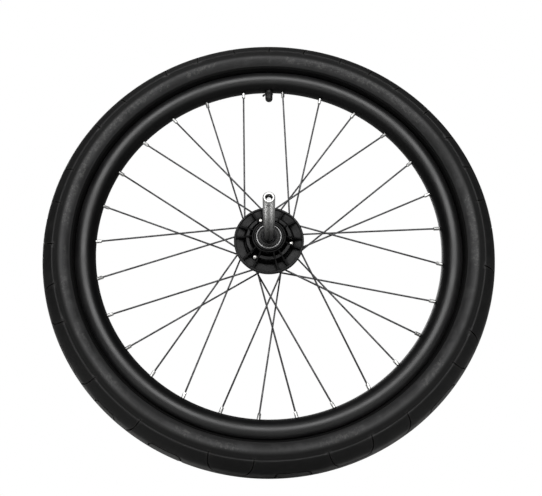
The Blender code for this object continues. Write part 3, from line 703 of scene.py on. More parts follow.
def evenly_spaced(points, step):
    total = sum((b - a).length for a, b in zip(points, points[1:]))
    count = max(4, int(round(total / step)))
    result, i, run = [points[0]], 0, 0.0
    for s in range(1, count):
        target = total * s / count
        while run + (points[i + 1] - points[i]).length < target:
            run += (points[i + 1] - points[i]).length
            i += 1
        share = (target - run) / (points[i + 1] - points[i]).length
        result.append(points[i].lerp(points[i + 1], share))
    result.append(points[-1])
    return result


def outline(path, half):
    """The closed line at this distance from a path, with round ends."""
    left, right = [], []
    for i, point in enumerate(path):
        tangent = (path[min(i + 1, len(path) - 1)] - path[max(i - 1, 0)]).normalized()
        normal = Vector((-tangent.y, tangent.x))
        left.append(point + normal * half)
        right.append(point - normal * half)
    caps = []
    for end, toward in ((path[-1], path[-1] - path[-2]), (path[0], path[0] - path[1])):
        base = math.atan2(toward.y, toward.x)
        caps.append([end + Vector((math.cos(base + turn), math.sin(base + turn))) * half
                     for turn in (math.pi / 4, 0.0, -math.pi / 4)])
    return left + caps[0] + right[::-1] + caps[1]


def lay_out_grooves():
    # (path, half width, depth)
    shapes = [(gate(*g), 0.85, 1.7) for g in GATES] + [(slash(s), 0.85, 1.7) for s in SLASHES]
    shapes += [(cup(*c), 1.0, 1.5) for c in CUPS]
    grooves = []
    for side, turn in ((1, 0.0), (-1, REAR_TURN)):
        for points, half, depth in shapes:
            path = [Vector((((x / PER_DEG) + turn - CUT_ANGLE) * PER_DEG, y * side))
                    for x, y in points]
            middle = sum(p.x for p in path) / len(path)
            shift = -math.floor(middle / LENGTH) * LENGTH
            path = [Vector((p.x + shift, p.y)) for p in path]
            if (min(p.x for p in path) < CUT_MARGIN
                    or max(p.x for p in path) > LENGTH - CUT_MARGIN):
                continue
            grooves.append(Groove(evenly_spaced(path, 1.15), evenly_spaced(path, 0.3),
                                  half, depth))
    return grooves


GROOVES = lay_out_grooves()
groove_tree = kdtree.KDTree(sum(len(groove.fine) for groove in GROOVES))
owners = []               # the groove of each point in the tree
for groove in GROOVES:
    for p in groove.fine:
        groove_tree.insert((p.x, p.y, 0.0), len(owners))
        owners.append(groove)
groove_tree.balance()


def nearest_groove(around, across):
    """The nearest groove and how far outside its edge this place lies."""
    _, index, distance = groove_tree.find((around, across, 0.0))
    return owners[index], distance - owners[index].half


def groove_at(around, across):
    """Share of the depth reached, the depth, and the distance outside the edge."""
    groove, outside = nearest_groove(around, across)
    fade = 1.0 - 0.55 * smoothstep(26.0, 31.0, abs(across))
    share = max(0.0, min(1.0, -outside / WALL_RUN))
    return share, groove.depth * fade * share, outside


# =============================================================================
# Tyre: one closed skin, its tread grooves cut as real walls and floors
# =============================================================================
def skin_rows():
    """Distances from the crown, closer together at the mould lines."""
    rows = [0.0]
    while rows[-1] < CAP - 3.2:
        rows.append(rows[-1] + 3.0)
    rows += [CAP - 1.6, CAP - 0.9, CAP - 0.35, CAP + 0.15, CAP + 0.45, CAP + 0.75, CAP + 1.6]
    while rows[-1] < SKIN - 10.4:
        rows.append(rows[-1] + 2.0)
    rows += [SKIN - 8.15, SKIN - 7.6, SKIN - 7.05, SKIN - 6.2, SKIN - 5.4, SKIN - 4.9,
             SKIN - 4.4, SKIN - 2.8, SKIN - 1.2, SKIN]
    return sorted(-v for v in rows if v > 0) + rows


def flat_skin():
    """Points and triangles of the skin laid flat, as (around, across)."""
    points, edges = [], []
    for across in skin_rows():
        previous = None
        for c in range(COLUMNS + 1):
            around = LENGTH * c / COLUMNS
            # grid points beside a groove's edge give way to the groove's outlines
            if (abs(across) < CAP + 3 and 0 < c < COLUMNS
                    and abs(nearest_groove(around, across)[1]) < 0.75):
                previous = None
                continue
            points.append(Vector((around, across)))
            if previous is not None and CAP - 2 < abs(across) < CAP + 2:
                edges.append((previous, len(points) - 1))
            previous = len(points) - 1
    for groove in GROOVES:
        for distance in (groove.half, groove.half - WALL_RUN):
            loop = outline(groove.coarse, distance)
            first = len(points)
            points += loop
            edges += [(first + i, first + (i + 1) % len(loop)) for i in range(len(loop))]
        points += outline(groove.coarse, groove.half + 0.8)[::2]
    points, _, triangles, _, _, _ = delaunay_2d_cdt(points, edges, [], 0, 1e-5)
    return points, triangles


def build_tyre():
    points, triangles = flat_skin()
    solid = bmesh.new()
    # the share of a groove's depth, which the tyre material darkens as painted shade
    groove_layer = solid.verts.layers.float.new("groove")
    edge_layer = solid.verts.layers.float.new("rim_of_groove")
    verts = []
    for p in points:
        share, depth, outside = groove_at(p.x, p.y) if abs(p.y) < 33 else (0.0, 0.0, 9.0)
        vert = solid.verts.new(skin_point(p.x, p.y, depth))
        vert[groove_layer] = share
        vert[edge_layer] = math.exp(-(outside / 0.5) ** 2) if outside > -0.02 else 0.0
        verts.append(vert)
    for triangle in triangles:
        # guards against a triangle on the same corners as an earlier one
        try:
            solid.faces.new([verts[i] for i in triangle])
        except ValueError:
            pass
    # the casing's inner face and the beads, which close the skin: (radius, out, corner)
    inner = [skin(SKIN)[0]] + rounded([
        (213.0, 7.9, 0.5), (208.6, 7.7, 0.5), (207.9, 8.5, 0.3), (204.0, 8.5, 1.0),
        (204.0, 5.8, 1.0), (210.6, 5.6, 1.5), (215.8, 7.6, 2.0), (217.8, 12.8, 3.0),
        (220.2, 17.4, 5.0), (232.0, 18.8, 6.0), (241.2, 11.6, 7.0)], closed=False)
    inner += [(243.4, 0.0)] + [(r, -out) for r, out in reversed(inner)]
    bridge(solid, [[solid.verts.new(polar(r, 360.0 * c / COLUMNS + CUT_ANGLE, out))
                    for c in range(COLUMNS)] for r, out in inner])
    bmesh.ops.remove_doubles(solid, verts=solid.verts, dist=0.02)
    place("tyre_rubber_skin", solid, RUBBER, "wheel", "tyre", sharp=38)


TUBE_R, TUBE_HALF = 226.0, 12.8
TAPE_INNER_R, TAPE_OUTER_R, TAPE_HALF = 197.7, 198.5, 5.2


def build_tube_and_tape():
    tube = [(TUBE_R + TUBE_HALF * math.cos(math.radians(a)), TUBE_HALF * math.sin(math.radians(a)))
            for a in range(0, 360, 12)]
    place("inner_tube_skin", ring(tube, 144), TUBE_RUBBER, "wheel", "inner_tube")
    tape = rounded([(TAPE_INNER_R, TAPE_HALF), (TAPE_OUTER_R, TAPE_HALF),
                    (TAPE_OUTER_R, -TAPE_HALF), (TAPE_INNER_R, -TAPE_HALF)], size=0.2, steps=2)
    place("rim_tape_band", ring(tape, 180), TAPE, "wheel", "rim_tape")


# =============================================================================
# Spokes and nipples, laced as in the frame
# =============================================================================
SPOKES, FIRST = 28, -6.43
TURN, TWIST = 51.43, 12.86          # hub hole from the even pitch, by lean and by flange
# the nipples stand off an even pitch by a lean that swells once round the rim
NIPPLE_LEAN, NIPPLE_SWELL, SWELL_AT = 2.4, 3.6, 185.0
# faces of each flange from the hub's middle, and the sign of its outward direction
Flange = namedtuple("Flange", "outer inner hole_r sign")
FRONT = Flange(outer=10.6, inner=7.4, hole_r=28.2, sign=1.0)
REAR = Flange(outer=-17.1, inner=-13.9, hole_r=26.5, sign=-1.0)
BEND = 1.35               # length of the spoke's elbow along each leg
NIPPLE_TIP_R = 185.75
# (radius from the wheel's axis, half width, whether square for the key)
NIPPLE_STATIONS = ((185.9, 1.15, 0), (185.75, 1.45, 0), (186.1, 1.78, 1), (191.6, 1.80, 1),
                   (192.2, 1.98, 0), (194.6, 2.0, 0), (195.3, 2.05, 0), (195.7, 2.9, 0),
                   (196.4, 3.0, 0), (197.0, 2.5, 0), (197.2, 1.6, 0))


def lacing(k):
    """Directions of the nipple and of the hub hole, the flange, and the lean."""
    flange, leading = (FRONT if k % 2 == 0 else REAR), k % 4 in (0, 1)
    even = FIRST + 360.0 / SPOKES * k
    nipple = even + NIPPLE_LEAN + NIPPLE_SWELL * math.cos(math.radians(even - SWELL_AT))
    hole = even + flange.sign * TWIST + (TURN if leading else -TURN)
    return nipple, hole, flange, leading


def spoke_line(k):
    """Elbow, rim end, head seat and head top of a spoke's centre line."""
    nipple, hole, flange, leading = lacing(k)
    if leading:
        run, head = flange.outer + flange.sign * 1.6, flange.inner - flange.sign * 0.2
    else:
        run, head = flange.inner - flange.sign * 1.2, flange.outer + flange.sign * 0.2
    away = 1.0 if head > run else -1.0
    elbow, seat, top = (hub(flange.hole_r, hole, out) for out in (run, head, head + away * 1.2))
    return elbow, polar(196.4, nipple), seat, top


def nipple_section(i, angle):
    if not NIPPLE_STATIONS[i][2]:
        return 1.0
    widest = max(abs(math.cos(angle)), abs(math.sin(angle)))
    return min(1.0 / widest * 0.97, 1.13)


def build_spoke(k):
    label = f"spoke_{k + 1:02d}"
    elbow, end, seat, top = spoke_line(k)
    run, drop = (end - elbow).normalized(), (seat - elbow).normalized()
    leg = elbow + run * BEND
    near = at_radius(elbow, end, 186.9)
    path = [top, seat + (top - seat) * 0.35, seat + (top - seat) * 0.05,
            seat - (seat - elbow) * 0.12]
    path += bend(elbow + drop * BEND, elbow, leg, 6)
    path += [leg.lerp(near, s / 4) for s in range(1, 5)]
    path.append(at_radius(elbow, end, 191.0))
    radii = [1.15, 1.80, 1.75] + [1.0] * 12 + [0.95]
    place(f"{label}_wire", sweep(path, radii, 12), SPOKE, "wheel", label)

    line = [at_radius(elbow, end, NIPPLE_TIP_R) + run * (r - NIPPLE_TIP_R)
            for r, _, _ in NIPPLE_STATIONS]
    nipple = sweep(line, [half for _, half, _ in NIPPLE_STATIONS], 24, section=nipple_section)
    place(f"nipple_{k + 1:02d}", nipple, NIPPLE, "wheel", sharp=28)


# =============================================================================
# Rim: single-wall section with real nipple and valve holes
# =============================================================================
BULGE_R, BULGE_OUT, BULGE_HALF = 204.6, 1.9, 11.0     # centre and radius of the side's arc
BULGE_ANGLES = (*range(28, -39, -6), -45, -52)        # from straight out


def build_rim():
    # tyre side of the front half, from the middle to the lip: (radius, out, corner)
    inner = rounded([
        (194.9, 0.0, 0), (194.95, 4.6, 2.0), (197.4, 6.6, 2.0), (202.0, 8.0, 1.0),
        (202.9, 9.0, 0.3), (208.0, 8.9, 0.5), (208.8, 8.4, 0.4), (211.8, 8.5, 0.4),
        (212.4, 9.3, 0.3)], steps=4, closed=False)
    bulge = [(BULGE_R + BULGE_HALF * math.sin(math.radians(a)),
              BULGE_OUT + BULGE_HALF * math.cos(math.radians(a))) for a in BULGE_ANGLES]
    outer = catmull([(212.35, 9.7), (211.9, 10.3), (211.0, 10.9)] + bulge
                    + [(194.2, 6.6), (192.7, 4.2), (191.9, 1.8), (191.7, 0.0)], 3)
    half = inner + [(p.x, p.y) for p in outer]
    profile = half + [(r, -out) for r, out in reversed(half) if out > 1e-6]
    rim = place("rim_hoop", ring(profile, 252), PAINT, "wheel", "rim", sharp=40)
    holes = bmesh.new()
    for k in range(SPOKES):
        elbow, end, _, _ = spoke_line(k)
        bar(at_radius(elbow, end, 189.0), end + (end - elbow).normalized() * 3.0, 2.25, 18, holes)
    bar(polar(189.0, VALVE_AT), polar(201.0, VALVE_AT), 4.3, 28, holes)
    carve(rim, holes, sharp=40)


# =============================================================================
# Valve: rubber stem, domed cap with fine flutes, and a ring with a tab
# =============================================================================
# (distance from the wheel's axis, radius)
STEM = ((212.0, 3.2), (211.4, 3.8), (200.4, 3.85), (199.6, 4.1), (198.9, 3.85), (190.6, 3.8),
        (189.2, 3.7), (188.6, 3.3), (188.4, 2.6), (182.6, 2.55), (182.3, 2.1))
CAP_STATIONS = ((188.1, 3.5), (187.9, 4.15), (187.2, 4.3), (182.9, 4.25), (181.9, 4.2),
                (180.7, 3.75), (179.8, 2.9), (179.2, 1.7), (179.0, 0.7))
FLUTES, FLUTE_DEPTH = 18, 0.028     # the depth is a share of the radius
KEEPER_R = 4.25
# the tab's path: (distance to the left, distance down, radius)
TAB = ((3.9, 0.0, 0.85), (5.2, 0.4, 1.1), (6.3, 1.2, 1.25), (6.9, 2.3, 1.15), (7.0, 2.8, 0.6))


def on_valve(radius):
    return polar(radius, VALVE_AT)


def cap_section(i, angle):
    return 1.0 + (FLUTE_DEPTH * math.cos(FLUTES * angle) if 1 <= i <= 4 else 0.0)


def build_valve():
    place("valve_stem_body", spindle(STEM, on_valve, 32), VALVE_RUBBER, "wheel",
          "valve_stem")
    place("valve_cap_body", spindle(CAP_STATIONS, on_valve, 108, section=cap_section),
          VALVE_PLASTIC, "wheel", "valve_cap")
    keeper = bmesh.new()
    loop = [on_valve(188.9) + Vector((KEEPER_R * math.cos(math.radians(a)),
                                      KEEPER_R * math.sin(math.radians(a)), 0))
            for a in range(0, 360, 15)]
    sweep(loop, [0.75] * len(loop), 10, keeper, closed=True)
    tab = [on_valve(188.6) + Vector((-left, 0.0, -down)) for left, down, _ in TAB]
    sweep(tab, [radius for _, _, radius in TAB], 14, keeper)
    place("valve_cap_keeper", keeper, VALVE_RUBBER, "wheel", sharp=60)


# =============================================================================
# Hub core: barrel, two flanges and the bearing seats
# =============================================================================
SCREWS = (112.0, 232.0, 352.0)      # directions of the cover's screws
SCREW_CIRCLE_R = 24.6


def on_screw(direction):
    """The function that gives a screw's centre line at a distance out."""
    return lambda out: hub(SCREW_CIRCLE_R, direction, out)


def build_core():
    # (radius, out, corner)
    profile = rounded([
        (14.15, 30.0, 0.5), (16.4, 30.0, 0.45), (16.4, FRONT.outer, 0.8),
        (31.8, FRONT.outer, 0.8), (31.8, FRONT.inner, 0.8), (20.2, FRONT.inner, 0.6),
        (19.0, 6.2, 1.5), (17.9, 0.0, 8.0), (18.4, -11.6, 4.0), (19.6, REAR.inner, 1.0),
        (29.2, REAR.inner, 0.8), (29.2, REAR.outer, 0.8), (16.4, REAR.outer, 0.8),
        (16.4, -30.0, 0.45), (14.15, -30.0, 0.5), (14.15, -21.7, 0.1), (11.6, -21.7, 0.3),
        (11.6, 21.7, 0.3), (14.15, 21.7, 0.1)], steps=4)
    core = place("hub_core_body", ring(profile, 112, mid=HUB_MID), HUB_PLASTIC, "wheel",
                 "hub_core")
    holes = bmesh.new()
    for k in range(SPOKES):
        _, hole, flange, _ = lacing(k)
        faces = (flange.outer, flange.inner)
        bar(hub(flange.hole_r, hole, max(faces) + 1), hub(flange.hole_r, hole, min(faces) - 1),
            1.35, 14, holes)
    for direction in SCREWS:
        at = on_screw(direction)
        bar(at(11.8), at(6.0), 1.7, 14, holes)
    carve(core, holes)


# =============================================================================
# Ribbed covers: one closed skin whose grid follows the ribs and the walls
# =============================================================================
BORE_R, BOSS_R = 16.7, 18.3
TOP = 29.2                # height of the boss
# an arc-shaped wall stands on the front cover between these radii
WALL_INNER_R, WALL_OUTER_R, WALL_TOP = 21.25, 24.75, 23.9
GROOVE_FLOOR = 15.1       # floor beside that wall
RIB_HALF = 0.90
# grid columns across a rib: distances from its middle
RIB_STEPS = (-1.9, -1.2, -1.06, -0.98, -0.86, -0.6, 0.0, 0.6, 0.86, 0.98, 1.06, 1.2, 1.9)
# a moulded edge: (distance past it, share of its height)
STEP = ((-0.25, 1.0), (-0.08, 0.965), (0.0, 0.86), (0.1, 0.14), (0.2, 0.03), (0.4, 0.0))
RIBS = (2, 36, 63, 102, 121, 154, 176, 219, 242, 286, 305, 343)
# the wall runs between neighbouring ribs that have no screw between them
ARCS = tuple((a, b) for a, b in zip(RIBS, RIBS[1:]) if not any(a < s < b for s in SCREWS))


def step_down(edge, at, low, high):
    """Full height before the edge, foot beyond it."""
    x = at - edge
    if x <= STEP[0][0]:
        return high
    for (start, share), (end, next_share) in zip(STEP, STEP[1:]):
        if x <= end:
            return low + (high - low) * (share + (next_share - share) * (x - start)
                                         / (end - start))
    return low


def rib_columns(ribs):
    """Grid columns: (rib, distance from it), or (rib, None, next rib, share of the gap)."""
    columns = []
    for i, rib in enumerate(ribs):
        columns += [(rib, offset) for offset in RIB_STEPS]
        following = ribs[(i + 1) % len(ribs)] + (360 if i + 1 == len(ribs) else 0)
        steps = max(3, int(round((following - rib) / 2.6)) - 2)
        columns += [(rib, None, following, s / steps) for s in range(1, steps)]
    return columns


def column_direction(column, radius):
    rib, offset = column[:2]
    if offset is not None:
        return rib + math.degrees(math.asin(offset / radius))
    following, share = column[2:]
    reach = math.degrees(math.asin(min(0.99, RIB_STEPS[-1] / radius)))
    start, end = rib + reach, following - reach
    return start + (end - start) * share


def ribbed_cover(name, node, sign, outer_r, back, floor, lip, ribs, arcs=()):
    """Heights run outwards from the hub's middle, to the front where sign is 1."""
    rim_r = outer_r - 2.05            # inner edge of the raised rim

    def rib_top(radius):
        share = (radius - BORE_R - 0.8) / ((outer_r - 1.2) - (BORE_R + 0.8))
        bow = 0.9 * math.sin(math.pi * max(0.0, min(1.0, share)))
        return (TOP - 0.8) + (lip - 0.3 - TOP + 0.8) * share - bow

    def height(radius, degrees, offset):
        base = floor
        if arcs:
            base = GROOVE_FLOOR + (floor + 0.55 - GROOVE_FLOOR) * smoothstep(26.9, 27.9, radius)
            base += 0.35 * smoothstep(29.0, outer_r - 2.6, radius)
        if radius > outer_r - 2.6:
            base = max(base, step_down(-rim_r, -radius, base, lip))
        level = max(base, step_down(BOSS_R, radius, base, TOP))
        if any(start < degrees < end for start, end in arcs):
            wall = step_down(-WALL_INNER_R, -radius, floor, WALL_TOP)
            if radius <= 21.3:
                level = max(step_down(BOSS_R, radius, floor, TOP), wall)
            elif radius > 23:
                level = max(level, step_down(WALL_OUTER_R, radius, base, WALL_TOP))
            else:
                level = max(level, wall)
        if offset is not None and abs(offset) < 1.95 and radius < outer_r - 0.7:
            level = max(level, step_down(RIB_HALF, abs(offset), level,
                                         max(level, rib_top(radius))))
        return level

    radii = [BORE_R + 0.35, BORE_R + 0.9, BOSS_R - 0.25, BOSS_R - 0.08, BOSS_R, BOSS_R + 0.1,
             BOSS_R + 0.2, BOSS_R + 0.4, 19.4, 20.2]
    if arcs:
        radii += [20.85, 21.05, 21.15, 21.25, 21.33, 21.5, 22.2, 23.0, 23.8, 24.5, 24.67, 24.75,
                  24.85, 24.95, 25.15, 25.9, 26.9, 27.15, 27.4, 27.65, 27.9, 28.6]
    radius = radii[-1] + 0.9
    while radius < outer_r - 3.1:
        radii.append(radius)
        radius += 0.95
    radii += [rim_r - 0.4, rim_r - 0.2, rim_r - 0.1, rim_r, rim_r + 0.08, rim_r + 0.25,
              outer_r - 1.2, outer_r - 0.75]
    bore_side = [(BORE_R, back + 0.3), (BORE_R, TOP - 0.35), (BORE_R + 0.12, TOP - 0.1)]
    outer_side = [(outer_r - 0.35, lip - 0.08), (outer_r - 0.1, lip - 0.3),
                  (outer_r, lip - 0.65), (outer_r, back + 0.35), (outer_r - 0.3, back),
                  (BORE_R + 0.3, back)]
    solid = bmesh.new()
    loops = []
    for column in rib_columns(ribs):
        face = [(r, height(r, column_direction(column, r) % 360.0, column[1])) for r in radii]
        loops.append([solid.verts.new(hub(r, column_direction(column, r), sign * out))
                      for r, out in bore_side + face + outer_side])
    bridge(solid, loops, closed=True)
    return place(name, solid, HUB_PLASTIC, "wheel", node, sharp=40)


def build_covers():
    front = ribbed_cover("hub_cover_front_body", "hub_cover_front", sign=1.0, outer_r=38.5,
                         back=13.7, floor=15.4, lip=17.9, ribs=RIBS, arcs=ARCS)
    holes = bmesh.new()
    for direction in SCREWS:
        at = on_screw(direction)
        bar(at(17.4), at(13.0), 1.85, 20, holes)
    carve(front, holes, sharp=40)
    ribbed_cover("hub_cover_rear_body", "hub_cover_rear", sign=-1.0, outer_r=23.6, back=17.5,
                 floor=19.3, lip=21.0, ribs=[60.0 * i for i in range(6)])


SCREW_SEAT = 15.65        # underside of the screw's head
THREAD_PITCH = 0.62


def build_screw(label, direction):
    """Pan head with a cross recess; the thread is a stack of shallow grooves."""
    # (out, radius)
    stations = [(SCREW_SEAT + rise, radius) for rise, radius in (
        (2.35, 0.6), (2.3, 1.3), (2.05, 2.0), (1.6, 2.42), (1.0, 2.62), (0.35, 2.68),
        (0.0, 2.55), (0.0, 1.45))]
    out = SCREW_SEAT - 0.6
    while out > 6.0:
        stations += [(out, 1.45), (out - 0.25, 1.25), (out - 0.5, 1.45)]
        out -= THREAD_PITCH
    stations += [(5.6, 1.1), (5.0, 0.5)]
    screw = place(f"cover_screw_{label}_body", spindle(stations, on_screw(direction), 28), ZINC,
                  "wheel", f"cover_screw_{label}", sharp=34)
    recess = ((SCREW_SEAT + 3.0, 1.75), (SCREW_SEAT + 1.0, 0.95))
    for long_way in (0, 1):
        def blade(i, angle):
            return 1.0 if round(angle / (math.pi / 2)) % 2 == long_way else 0.27
        carve(screw, spindle(recess, on_screw(direction), 4, section=blade), sharp=34)


# =============================================================================
# Bearings
# =============================================================================
FACE, BACK, BALL_MID = 30.0, 22.0, 26.0     # from the hub's middle, outwards
BALLS, BALL_R, BALL_CIRCLE_R = 7, 2.2, 10.0
TRACK_R, TRACK_HALF = 10.3, 2.42            # centre and radius of the balls' track
INNER_BORE_R = 6.12


def build_bearing(label, sign):
    def add(part, profile, segments, material, body, node):
        mirrored = [(r, sign * out) for r, out in profile]
        return place(f"bearing_{label}_{part}", ring(mirrored, segments, mid=HUB_MID), material,
                     body, f"bearing_{label}_{node}")

    outer = rounded([(14.0, FACE - 0.5, 0.3), (14.0, BACK + 0.5, 0.3), (13.5, BACK, 0.3),
                     (11.9, BACK, 0.2)], closed=False)
    outer += [(TRACK_R + TRACK_HALF * math.cos(math.radians(a)),
               BALL_MID + TRACK_HALF * math.sin(math.radians(a))) for a in range(-48, 49, 12)]
    outer += rounded([(11.9, FACE - 1.45, 0.1), (12.6, FACE - 1.35, 0.1), (12.6, FACE - 0.3, 0.1),
                      (12.95, FACE - 0.02, 0.1), (13.3, FACE, 0.1), (13.75, FACE - 0.4, 0.1)],
                     closed=False)
    add("outer_ring", outer, 96, RACE, "wheel", "outer_race")
    inner = rounded([(7.95, BACK, 0.2), (INNER_BORE_R, BACK, 0.3),
                     (INNER_BORE_R, FACE - 0.05, 0.5), (7.95, FACE - 0.05, 0.25)])
    # the inner ring takes the darker race steel, painted shade
    add("inner_ring", inner, 84, SHADED_RACE, "axle", "inner_race")
    seal = rounded([(8.15, FACE - 0.45, 0.1), (8.7, FACE - 0.2, 0.25), (9.3, FACE - 0.75, 0.3),
                    (11.2, FACE - 0.7, 0.3), (11.7, FACE - 0.25, 0.25), (12.45, FACE - 0.3, 0.15),
                    (12.45, FACE - 1.2, 0.1), (8.2, FACE - 1.2, 0.1)])
    add("seal_disc", seal, 84, SEAL, "wheel", "seal")
    cage = rounded([(9.55, BALL_MID + 0.6), (10.45, BALL_MID + 0.6), (10.45, BALL_MID - 0.6),
                    (9.55, BALL_MID - 0.6)], size=0.2, steps=2)
    balls = add("ball_ring", cage, 84, RACE, f"{label}_ball_ring", "balls")
    for i in range(BALLS):
        centre = hub(BALL_CIRCLE_R, 360.0 * i / BALLS, sign * BALL_MID)
        carve(balls, ball(BALL_R, centre, 3), "UNION")


def build_spacer():
    profile = rounded([(INNER_BORE_R, 21.7), (INNER_BORE_R, -21.7), (8.0, -21.7),
                       (8.0, -9.0, 0.4), (7.6, -8.5, 0.4), (7.6, 8.5, 0.4), (8.0, 9.0, 0.4),
                       (8.0, 21.7)], size=0.25)
    place("bearing_spacer_sleeve", ring(profile, 64, mid=HUB_MID), SPACER, "axle",
          "bearing_spacer")


# =============================================================================
# Stub axle, clip and release
# =============================================================================
TIP = 137.7
BALL_OUT = TIP - 6.6      # the lock balls' place along the axle
LOCK_SIDES = (("lower", -1.0), ("upper", 1.0))
ROD_R, ROD_HEAD_R = 1.2, 2.7
TAPER_SLOPE = 1.2 / 4.5   # of the rod's cone, radius over length
CLIP_GAP = 17.0           # half the clip's opening, in degrees, at the top
SPRING_R, SPRING_WIRE_R = 4.0, 0.45
SPRING_START, SPRING_END = -16.7, -35.6
SPRING_TURNS, SPRING_STEPS = 5, 22


def build_axle():
    # (radius, out, corner): tip, clip groove, collar and cup, then the bore
    profile = rounded([
        (3.25, TIP - 0.5, 0.15), (3.75, TIP, 0.2), (5.0, TIP, 0.25), (6.0, TIP - 1.25, 0.3),
        (6.0, 31.45, 0.05), (5.4, 31.45, 0.08), (5.4, 30.15, 0.08), (6.0, 30.15, 0.05),
        (6.0, -29.8, 0.1), (6.0, -30.3, 0.1), (10.2, -30.3, 0.5), (10.2, -33.2, 0.2),
        (9.9, -33.5, 0.2), (10.2, -33.8, 0.2), (10.2, -44.2, 0.6), (7.7, -44.2, 0.3),
        (7.7, -43.2, 0.2), (8.8, -43.2, 0.2), (8.8, -34.0, 0.5), (4.9, -34.0, 0.3),
        (4.9, -16.0, 0.2), (3.25, -16.0, 0.2)], steps=4)
    axle = place("axle_tube_body", ring(profile, 96, mid=HUB_MID), AXLE, "axle",
                 "axle_tube", sharp=34)
    holes = bmesh.new()
    for _, side in LOCK_SIDES:
        start, end = (hub(0, 0, BALL_OUT) + Vector((0, 0, side * z)) for z in (2.0, 9.0))
        bar(start, end, 2.12, 32, holes)
    carve(axle, holes, sharp=34)


def build_clip():
    """An open ring that widens a little towards its ends."""
    section = rounded([(5.55, 31.25), (7.9, 31.25), (7.9, 30.35), (5.55, 30.35)], size=0.18)
    solid = bmesh.new()
    loops, steps = [], 72
    for i in range(steps + 1):
        angle = 90.0 + CLIP_GAP + (360.0 - 2 * CLIP_GAP) * i / steps
        swell = 0.35 * smoothstep(18.0, 4.0, steps - i) + 0.35 * smoothstep(18.0, 4.0, i)
        loops.append([solid.verts.new(hub(r + (swell if r > 7 else 0.0), angle, out))
                      for r, out in section])
    bridge(solid, loops)
    solid.faces.new(loops[0])
    solid.faces.new(list(reversed(loops[-1])))
    place("axle_clip_ring", solid, CLIP, "axle", "axle_clip")


def build_release():
    # (radius, out, corner)
    button = rounded([
        (0, -44.9, 0), (1.5, -44.9, 0), (1.5, -36.4, 0.1), (4.5, -36.4, 0.2), (4.5, -41.4, 0.3),
        (8.35, -41.4, 0.3), (8.35, -42.9, 0.3), (7.35, -42.9, 0.2), (7.35, -47.7, 0.9),
        (6.3, -48.6, 0.6), (5.2, -48.6, 0.5), (4.4, -48.2, 0.5), (0, -47.8, 0)],
        steps=4, closed=False)
    place("release_button_cap", turned(button, 80), BUTTON, "release",
          "release_button")
    taper_start = BALL_OUT + 0.6
    taper_end = taper_start - (ROD_HEAD_R - ROD_R) / TAPER_SLOPE
    rod_end = TIP - 5.0
    rod = rounded([
        (0, rod_end - 0.25, 0), (1.2, rod_end - 0.1, 0.4), (2.3, rod_end, 0.2),
        (ROD_HEAD_R, rod_end - 0.4, 0.2), (ROD_HEAD_R, taper_start, 0.3),
        (ROD_R, taper_end, 0.6), (ROD_R, -44.7, 0.2), (0, -44.7, 0)], closed=False)
    place("release_rod_body", turned(rod, 56), RACE, "release", "release_rod")

    count = SPRING_TURNS * SPRING_STEPS
    coil = [hub(SPRING_R, 360.0 * i / SPRING_STEPS,
                SPRING_START + (SPRING_END - SPRING_START) * (i / count))
            for i in range(count + 1)]
    spring = place("release_spring_coil", sweep(coil, [SPRING_WIRE_R] * len(coil), 12), SPRING,
                   "axle", "release_spring")
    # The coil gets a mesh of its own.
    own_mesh(spring)

    for label, side in LOCK_SIDES:
        centre = Vector((0, -(HUB_MID + BALL_OUT), side * 4.73))
        place(f"lock_ball_{label}_sphere", ball(2.0, centre, 4), RACE, f"lock_ball_{label}",
              f"lock_ball_{label}")


# =============================================================================
# Stage, in metres: floor, world, lights and camera
# =============================================================================
FLOOR_Z = -0.2512
FLOOR_HALF = 4.0


def build_floor():
    """A pale floor that fades out with distance and can't be seen from below."""
    material = bpy.data.materials.new("pale_floor")
    material.use_nodes = True
    tree = material.node_tree
    tree.nodes.clear()
    place_on = add_node(tree, "ShaderNodeTexCoord").outputs["Object"]
    distance = add_node(tree, "ShaderNodeVectorMath", {0: place_on}, operation="LENGTH")
    fade = smooth_range(tree, distance.outputs["Value"], over=(0.9, 3.6))
    below = add_node(tree, "ShaderNodeNewGeometry").outputs["Backfacing"]
    hidden = add_node(tree, "ShaderNodeMath", {0: fade, 1: below}, operation="MAXIMUM")
    pale = add_node(tree, "ShaderNodeBsdfDiffuse", {"Color": (0.82, 0.82, 0.81)})
    clear = add_node(tree, "ShaderNodeBsdfTransparent")
    blended = add_node(tree, "ShaderNodeMixShader", {
        0: hidden.outputs[0], 1: pale.outputs[0], 2: clear.outputs[0]})
    add_node(tree, "ShaderNodeOutputMaterial", {"Surface": blended.outputs[0]})

    grid = bmesh.new()
    bmesh.ops.create_grid(grid, x_segments=24, y_segments=24, size=FLOOR_HALF)
    mesh = bpy.data.meshes.new("floor")
    grid.to_mesh(mesh)
    grid.free()
    mesh.materials.append(material)
    floor = bpy.data.objects.new("floor", mesh)
    floor.location = (0.0, 0.0, FLOOR_Z)
    scene.collection.objects.link(floor)


def build_world():
    """White to the camera; as light, dim and a little stronger from behind the wheel."""
    world = bpy.data.worlds.new("studio")
    scene.world = world
    world.use_nodes = True
    tree = world.node_tree
    tree.nodes.clear()
    way = add_node(tree, "ShaderNodeTexCoord").outputs["Generated"]
    way_y = add_node(tree, "ShaderNodeSeparateXYZ", {0: way}).outputs[1]
    strength = smooth_range(tree, way_y, over=(-0.15, 0.45), to=(0.10, 0.26))
    light = add_node(tree, "ShaderNodeBackground", {"Strength": strength})
    seen = add_node(tree, "ShaderNodeBackground", {"Color": (1, 1, 1), "Strength": 1.0})
    to_camera = add_node(tree, "ShaderNodeLightPath").outputs["Is Camera Ray"]
    chosen = add_node(tree, "ShaderNodeMixShader", {
        0: to_camera, 1: light.outputs[0], 2: seen.outputs[0]})
    add_node(tree, "ShaderNodeOutputWorld", {"Surface": chosen.outputs[0]})


